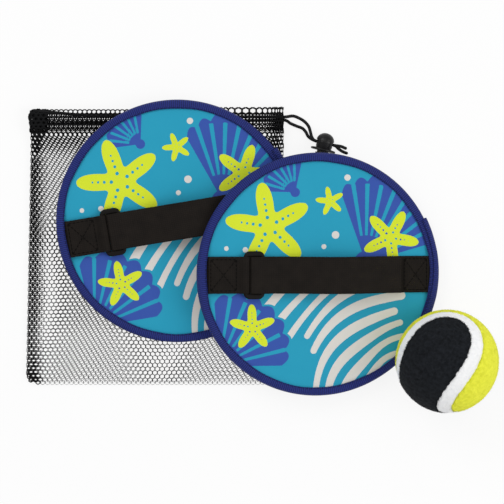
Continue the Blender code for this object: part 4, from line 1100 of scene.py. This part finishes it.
# Each panel's colour, finish, side of the seam, and the seeds of its lumps, its fibres and their lean
FELTS = (("black", black_felt, 1, 1, 11, 12), ("yellow", yellow_felt, -1, 2, 13, 14))
FIBRES, FIBRE_LONG, SEAM_FIBRES, SEAM_FIBRE_LONG = 15000, 1.15 * MM, 5000, 0.8 * MM
for name, felt, side, seed, _, _ in FELTS:
    panel = felt_shape(side, seed)
    make_piece(f"{name}_felt_panel", panel, felt, replaced=[f"ball_{name}_felt"])
make_piece("white_seam_band", seam_shape(), white_felt, replaced=["ball_seam"])
for name, felt, side, _, seed, lean_seed in FELTS:
    fuzz = fuzz_shape(felt_fibres(side, FIBRES, seed), lean_seed, FIBRE_LONG)
    make_piece(f"{name}_fuzz", fuzz, felt)
seam_rng = np.random.default_rng(15)
seam_seeds = beside_seam(
    seam_rng.uniform(0, 2 * math.pi, SEAM_FIBRES), seam_rng.uniform(-1, 1, SEAM_FIBRES) * SEAM_WIDE / 2
)
make_piece("white_fuzz", fuzz_shape(seam_seeds, 16, SEAM_FIBRE_LONG), white_felt)

# %% [markdown]
# ## The bag's nets
# Warp-knitted net: a honeycomb of black strands. The lattice is worked out flat, with x across the bag
# and s along the cloth, and then laid along a path that goes up the bag, round the cord and back to
# the hem's stitches. A strand is a low ridge: it is highest where two gaps share it, and slopes down
# to each gap's rim. Two layers, a little skewed against each other, give the moire of the real bag.

# %% Honeycomb net
BAG_WIDE, BAG_TALL, NET = 177.0 * MM, 190.0 * MM, 0.5 * MM
GAP_PITCH, ROW_PITCH, OPEN_SHARE = 3.25 * MM, 2.6 * MM, 0.855
FRONT_LEVEL, FRONT_HEM, BACK_LEVEL, CHANNEL_TURN = 2.8 * MM, 4.8 * MM, 0.3 * MM, 1.8 * MM
STITCH_LINE, CHANNEL_LIP, CHANNEL_RAMP = 79.0 * MM, 3.0 * MM, 16.0 * MM
HEM_EDGE, HEADING, PINCH, BACK_HEM_DROP = 94.7 * MM, 4.2 * MM, 0.4 * MM, 3.4 * MM
CORNER_CUT, BAG_SIDE, BAG_LOW = 6.5 * MM, BAG_WIDE / 2, -BAG_TALL / 2


def hem_line(front):
    """The cloth's middle as (y, z): up the bag, under the cord, to a fold and back to the stitches."""
    level, hem = (FRONT_LEVEL, FRONT_HEM) if front else (BACK_LEVEL, BACK_LEVEL)
    top = HEM_EDGE if front else HEM_EDGE - BACK_HEM_DROP
    y = np.linspace(BAG_LOW, top - HEADING, 190)
    z = level + (hem - level) * smooth_step((y - STITCH_LINE + CHANNEL_RAMP) / CHANNEL_RAMP)
    share = np.linspace(0, 1, 12)[1:]
    rise = (CHANNEL_TURN - PINCH) * smooth_step(share)
    out = top - HEADING + (HEADING - PINCH) * share
    angle = np.radians(np.linspace(-90, 90, 9))[1:-1]
    middle = hem + CHANNEL_TURN
    fold = [
        as_points(out, hem + rise),
        as_points(top - PINCH + PINCH * np.cos(angle), middle + PINCH * np.sin(angle)),
        as_points(out, 2 * middle - hem - rise)[::-1],
    ]
    back = np.array(
        [(STITCH_LINE + CHANNEL_LIP, hem + 2 * CHANNEL_TURN), (STITCH_LINE, hem + NET + 0.3 * MM)]
    )
    return np.concatenate([as_points(y, z), *fold, back])


def distances(line):
    """How far along the cloth each point of its line is, with 0 at the middle of the bag's height."""
    return walked(line) + BAG_LOW


fold_line = hem_line(True)
APEX = float(distances(fold_line)[fold_line[:, 0].argmax()])
NOWHERE = 1.0  # a fold this far off leaves no open heading
print("front panel folds over at", round(APEX * 1000, 1), "mm")


def within(distance, limit, fade):
    """The other way round: from 0 at the limit to 1 at a fade's width below it."""
    return smooth_step((limit * MM - distance) / (fade * MM))


def gap_share(x, s, apex):
    """How far each gap opens: wide in the slack net, less under the hem and where the cloth bunches."""
    left, right, low = BAG_SIDE + x, BAG_SIDE - x, s - BAG_LOW
    slack = 0.036 * within(s, -44, 20) * past(left, 6, 9)
    share = OPEN_SHARE - 0.012 + slack - 0.12 * past(s, 60, 14)
    for target, near in (
        (0.72, within(np.minimum(left, right), 4.5, 2)),  # along the side seams
        (0.7, past(s - STITCH_LINE, 0, 2) * past(np.abs(s - apex), 3.4, 0.6)),  # in the channel
        (0.52, within(right, 24, 14) * past(s, 50, 14)),  # where the cord bunches the right end
        (0.5, within(left, 10, 4) * past(s, 62, 5)),  # at the left end
        (0.34, within(left, 13, 2.5) * past(s, 76, 2)),  # in the upper left corner
        (0.55, within(left + low - CORNER_CUT, 9, 6)),  # at the lower left corner's cut
    ):
        share = share + (target - share) * near
    return share + (0.74 - share) * within(left, 9, 3) * (share > 0.74)


def honeycomb(x_low, x_high, s_low, s_high, keep, phase, apex):
    """Rims as shared lattice corners, gaps as smaller hexagons. Corners step by a third of a row."""

    def placed(half_x, third_y):
        """Places from whole numbers: x counts half pitches, and y counts thirds of a row."""
        return as_points(half_x * GAP_PITCH / 2 + phase[0], third_y * ROW_PITCH / 3 + phase[1])

    first, last = math.ceil((s_low - phase[1]) / ROW_PITCH), math.floor((s_high - phase[1]) / ROW_PITCH)
    rows = np.arange(first, last + 1)
    first, last = math.ceil((x_low - phase[0]) / GAP_PITCH), math.floor((x_high - phase[0]) / GAP_PITCH)
    columns = np.arange(first - 1, last + 1)
    i, j = (a.ravel() for a in np.meshgrid(rows, columns, indexing="ij"))
    half_x, third_y = 2 * j + i % 2, 3 * i
    centre = placed(half_x, third_y)
    inside = (centre[:, 0] > x_low) & (centre[:, 0] < x_high) & keep(centre[:, 0], centre[:, 1])
    half_x, third_y, centre = half_x[inside], third_y[inside], centre[inside]
    step = np.array([(0, 2), (-1, 1), (-1, -1), (0, -2), (1, -1), (1, 1)])
    keys = np.stack([half_x[:, None] + step[:, 0], third_y[:, None] + step[:, 1]], axis=2)
    unique, index = np.unique(keys.reshape(-1, 2), axis=0, return_inverse=True)
    index = index.reshape(-1, 6)
    corner = placed(unique[:, 0], unique[:, 1])
    share = gap_share(centre[:, 0], centre[:, 1], apex)
    gap = centre[:, None] + share[:, None, None] * (corner[index] - centre[:, None])
    count = len(corner)
    hole = 2 * count + np.arange(len(centre) * 6).reshape(-1, 6)
    after = np.roll(index, -1, axis=1)
    hole_after = np.roll(hole, -1, axis=1)
    top = np.stack([index, after, hole_after, hole], axis=2).reshape(-1, 4)
    under = np.stack([after + count, index + count, hole, hole_after], axis=2).reshape(-1, 4)
    ends = np.stack([index.ravel(), after.ravel()], axis=1)
    tag = ends[:, 0] * count + ends[:, 1]
    lone = ~np.isin(tag, ends[:, 1] * count + ends[:, 0])
    rim = ends[lone]
    wall = np.stack([rim[:, 1], rim[:, 0], rim[:, 0] + count, rim[:, 1] + count], axis=1)
    plan = np.concatenate([corner, corner, gap.reshape(-1, 2)])
    lift = np.concatenate([np.full(count, NET / 2), np.full(count, -NET / 2), np.zeros(len(centre) * 6)])
    strands = float((1 - share**2).sum()) * GAP_PITCH * ROW_PITCH
    return plan, lift, np.concatenate([top, under, wall]), strands


def laid_along(line, plan, lift, pulled):
    """Puts each lattice point at its distance along the line, raised along the line's normal."""
    far = distances(line)
    slope = unit(np.gradient(line, axis=0))
    y, z, run_y, run_z = (
        np.interp(plan[:, 1], far, numbers)
        for numbers in (line[:, 0], line[:, 1], slope[:, 0], slope[:, 1])
    )
    shift_x, shift_y, drop = pulled(plan[:, 0], y)
    level = z + lift * run_y - drop
    return as_points(plan[:, 0] + shift_x, y - lift * run_z + shift_y, level) + BAG_CENTRE


def inside_bag(x, s):
    """The two lower corners are cut, and the upper left one is a little rounded."""
    lower = (BAG_SIDE - np.abs(x)) + (s - BAG_LOW) > CORNER_CUT
    upper = (BAG_SIDE + x) + np.abs(s - APEX) > 3.2 * MM
    return lower & upper


def creases(x, y, seed):
    """From 0 to 1: broad folds of the slack net, fading under the hem."""
    rng = np.random.default_rng(seed)
    total = np.zeros(x.shape)
    for _ in range(9):
        kx, ky = rng.normal(0, 70, 2)
        total += np.sin(kx * x + ky * y + rng.uniform(0, 6.3))
    return np.clip(0.5 + total / 9, 0, 1) * within(y, 58, 20)


def straightened(x):
    """Within 3.3 mm of a side seam, cells are squeezed by a parabola: the zigzag edge turns straight."""
    zone, beyond = 3.3 * MM, 1.8 * MM
    edge = BAG_SIDE - np.abs(x)
    steep = 1 / (2 * (zone + beyond))
    squeezed = zone - steep * (zone + beyond) ** 2 + steep * (np.maximum(edge, -beyond) + beyond) ** 2
    return np.where(edge < zone, np.sign(x) * (BAG_SIDE - squeezed), x)


def skewed(front):
    """How a layer is pulled: leaning left, bunched at the hem's ends, the front slid on its strands."""

    def pulled(x, y):
        """How far each place shifts along x and y, and how far it drops."""
        left, right = BAG_SIDE + x, BAG_SIDE - x
        corner = within(left, 13, 5) * past(y, 74, 6)
        high = past(y, 36, 34)
        bunched = 0.48 * right * within(right, 42, 30) * high
        lean = 1.85 * MM * (y / -BAG_LOW) * np.clip(0.5 - x / BAG_WIDE, 0, 1) * (1 - 0.6 * corner)
        ruffle = 0.6 * corner + 0.8 * within(right, 20, 14) * high
        shift_x = straightened(x) - x + lean + bunched
        shift_x = shift_x + ruffle * 0.28 * MM * np.sin(900 * x + 700 * y)
        shift_y = ruffle * 0.32 * MM * np.sin(800 * x - 1100 * y + 1)
        if not front:
            return shift_x, shift_y, np.zeros(x.shape)
        inner = past(BAG_SIDE - np.abs(x), 0, 7) * within(y, 79, 3)
        upper = past(y, -20, 60)
        falling = (1 - upper) * 1.6 * MM * (0.5 - 0.5 * np.cos(70 * (x + 86 * MM)) + 0.3 * np.sin(45 * y))
        rising = (0.25 + upper) * 1.35 * MM * np.sin(52 * x - 24 * y + 3.5)
        across, along_it = GAP_PITCH / 2, ROW_PITCH
        long = math.hypot(across, along_it)
        shift_x = shift_x + inner * (rising - falling) * across / long
        shift_y = shift_y + inner * (rising + falling) * along_it / long
        heading = np.clip((y - 91 * MM) / (HEM_EDGE - 91 * MM), 0, 1)
        shift_y = shift_y + 1.7 * MM * past(x, -10, 60) * heading
        drop = 0.8 * MM * creases(x, y, 21) * inner - 0.4 * MM * ruffle * np.sin(700 * x + 500 * y)
        return shift_x, shift_y, drop

    return pulled


# Polyester monofilament, dyed black: thin strands, only faintly shiny, that read as black cloth
net_finish = grained(
    "polyester_net", "#060607", "#151517", 1500.0, 2.0, 0.5, 0.15, Roughness=0.72, Specular_IOR_Level=0.12
)
NET_SIDE = BAG_SIDE - 0.2 * MM

for name, node, front, apex in (
    ("bag_front_mesh", "bag_front_net", True, APEX), ("bag_back_mesh", "bag_back_net", False, NOWHERE)
):
    line = hem_line(front)
    cloth = float(walked(line)[-1])
    plan, lift, quads, strands = honeycomb(
        -NET_SIDE, NET_SIDE, BAG_LOW + 1.2 * MM, BAG_LOW + cloth - 1.2 * MM, inside_bag, (0.0, APEX), apex
    )
    shape = (laid_along(line, plan, lift, skewed(front)), [quads], [plan[quads]])
    net = make_piece(name, shape, net_finish, replaced=[node])
    print("cloth:", round(cloth * 1000, 1), "mm long, strands over", round(strands / BAG_WIDE / cloth, 3))

# %% [markdown]
# The panels are sewn together inside out, so a turned-in allowance lies between them along both sides
# and the bottom. It shows as a darker column through the net. The hem's and the sides' stitches are
# real threads on top of the cloth.

# %% Turned-in allowance and seam stitches
ALLOWANCE_LEVEL, SIDE_ALLOWANCE, LOW_ALLOWANCE = 1.5 * MM, 11.0 * MM, 3.4 * MM


def in_allowance(x, y):
    """The strips along both sides and the bottom, but not the cut corners."""
    near_side = np.abs(x) > BAG_SIDE - SIDE_ALLOWANCE
    near_low = y < BAG_LOW + LOW_ALLOWANCE
    return (near_side | near_low) & ((BAG_SIDE - np.abs(x)) + (y - BAG_LOW) > CORNER_CUT + 1 * MM)


plan, lift, quads, _ = honeycomb(
    -NET_SIDE, NET_SIDE, BAG_LOW + 1.4 * MM, 62 * MM, in_allowance, (1.7 * MM, 0.4 * MM), NOWHERE
)
pull_x, pull_y, _ = skewed(False)(plan[:, 0], plan[:, 1])
points = as_points(plan[:, 0] + pull_x, plan[:, 1] + pull_y, ALLOWANCE_LEVEL + lift) + BAG_CENTRE
make_piece("bag_allowance", (points, [quads], [plan[quads]]), net_finish, replaced=["bag_seam"])

HEM_TOP, SIDE_TOP = 6.3, 3.0  # millimetres over the floor
seam_lines = [
    ((-84.5, 79.8, HEM_TOP), (87.0, 79.8, HEM_TOP)),
    ((-88.4, -86.0, SIDE_TOP), (-85.3, 74.0, SIDE_TOP)),
    ((86.8, -86.0, SIDE_TOP), (86.8, 60.0, SIDE_TOP)),
]
seam_beads = beads([np.array(line) * MM for line in seam_lines], (0, 0, 1))
make_piece("bag_stitches", sewn(seam_beads, lambda bead: bead + BAG_CENTRE), thread)

# %% [markdown]
# ## Finishes for the CAD pieces that stay
# The boards, the hook and loop patches, the catch faces, the ball's core and the cord lock's body and
# button have the right shape already, so each only gets its own material through the object's slot.

# %% Materials of the kept CAD pieces
# Brushed nylon loops that the ball sticks to: a soft dull pile
loop_pile = grained(
    "brushed_nylon_loop", "#0E0E10", "#232326", 900.0, deep_mm=0.5, Roughness=0.95,
    Specular_IOR_Level=0.25, Sheen_Weight=0.05,
)
# Moulded nylon hooks: stiffer and a little shinier than the pile
hook_bristle = grained(
    "nylon_hook_tape", "#141312", "#2A2826", 1300.0, deep_mm=0.4, Roughness=0.55, Specular_IOR_Level=0.25
)
# Grey board for the stiffeners, and vulcanised rubber for the ball's core: both plain and matt
grey_board = grained(
    "grey_board", "#C9C7C1", "#DAD8D2", 260.0, deep_mm=0.1, Roughness=0.8, Specular_IOR_Level=0.25
)
rubber = grained(
    "ball_rubber", "#8F8C82", "#A19E93", 200.0, deep_mm=0.1, Roughness=0.75, Specular_IOR_Level=0.25
)

KEPT = {"ball_core": rubber, "cord_lock_body": lock_plastic, "cord_lock_button": lock_plastic}
for side in PADDLES:
    for name, material in (
        ("catch_face", loop_pile), ("core_board", grey_board),
        ("strap_loop_patch", loop_pile), ("strap_hook_patch", hook_bristle),
    ):
        KEPT[f"{side}_paddle_{name}"] = material
for node, material in KEPT.items():
    for slot_of_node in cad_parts[node].material_slots:
        slot_of_node.material = material
print("CAD pieces kept:", len(KEPT))
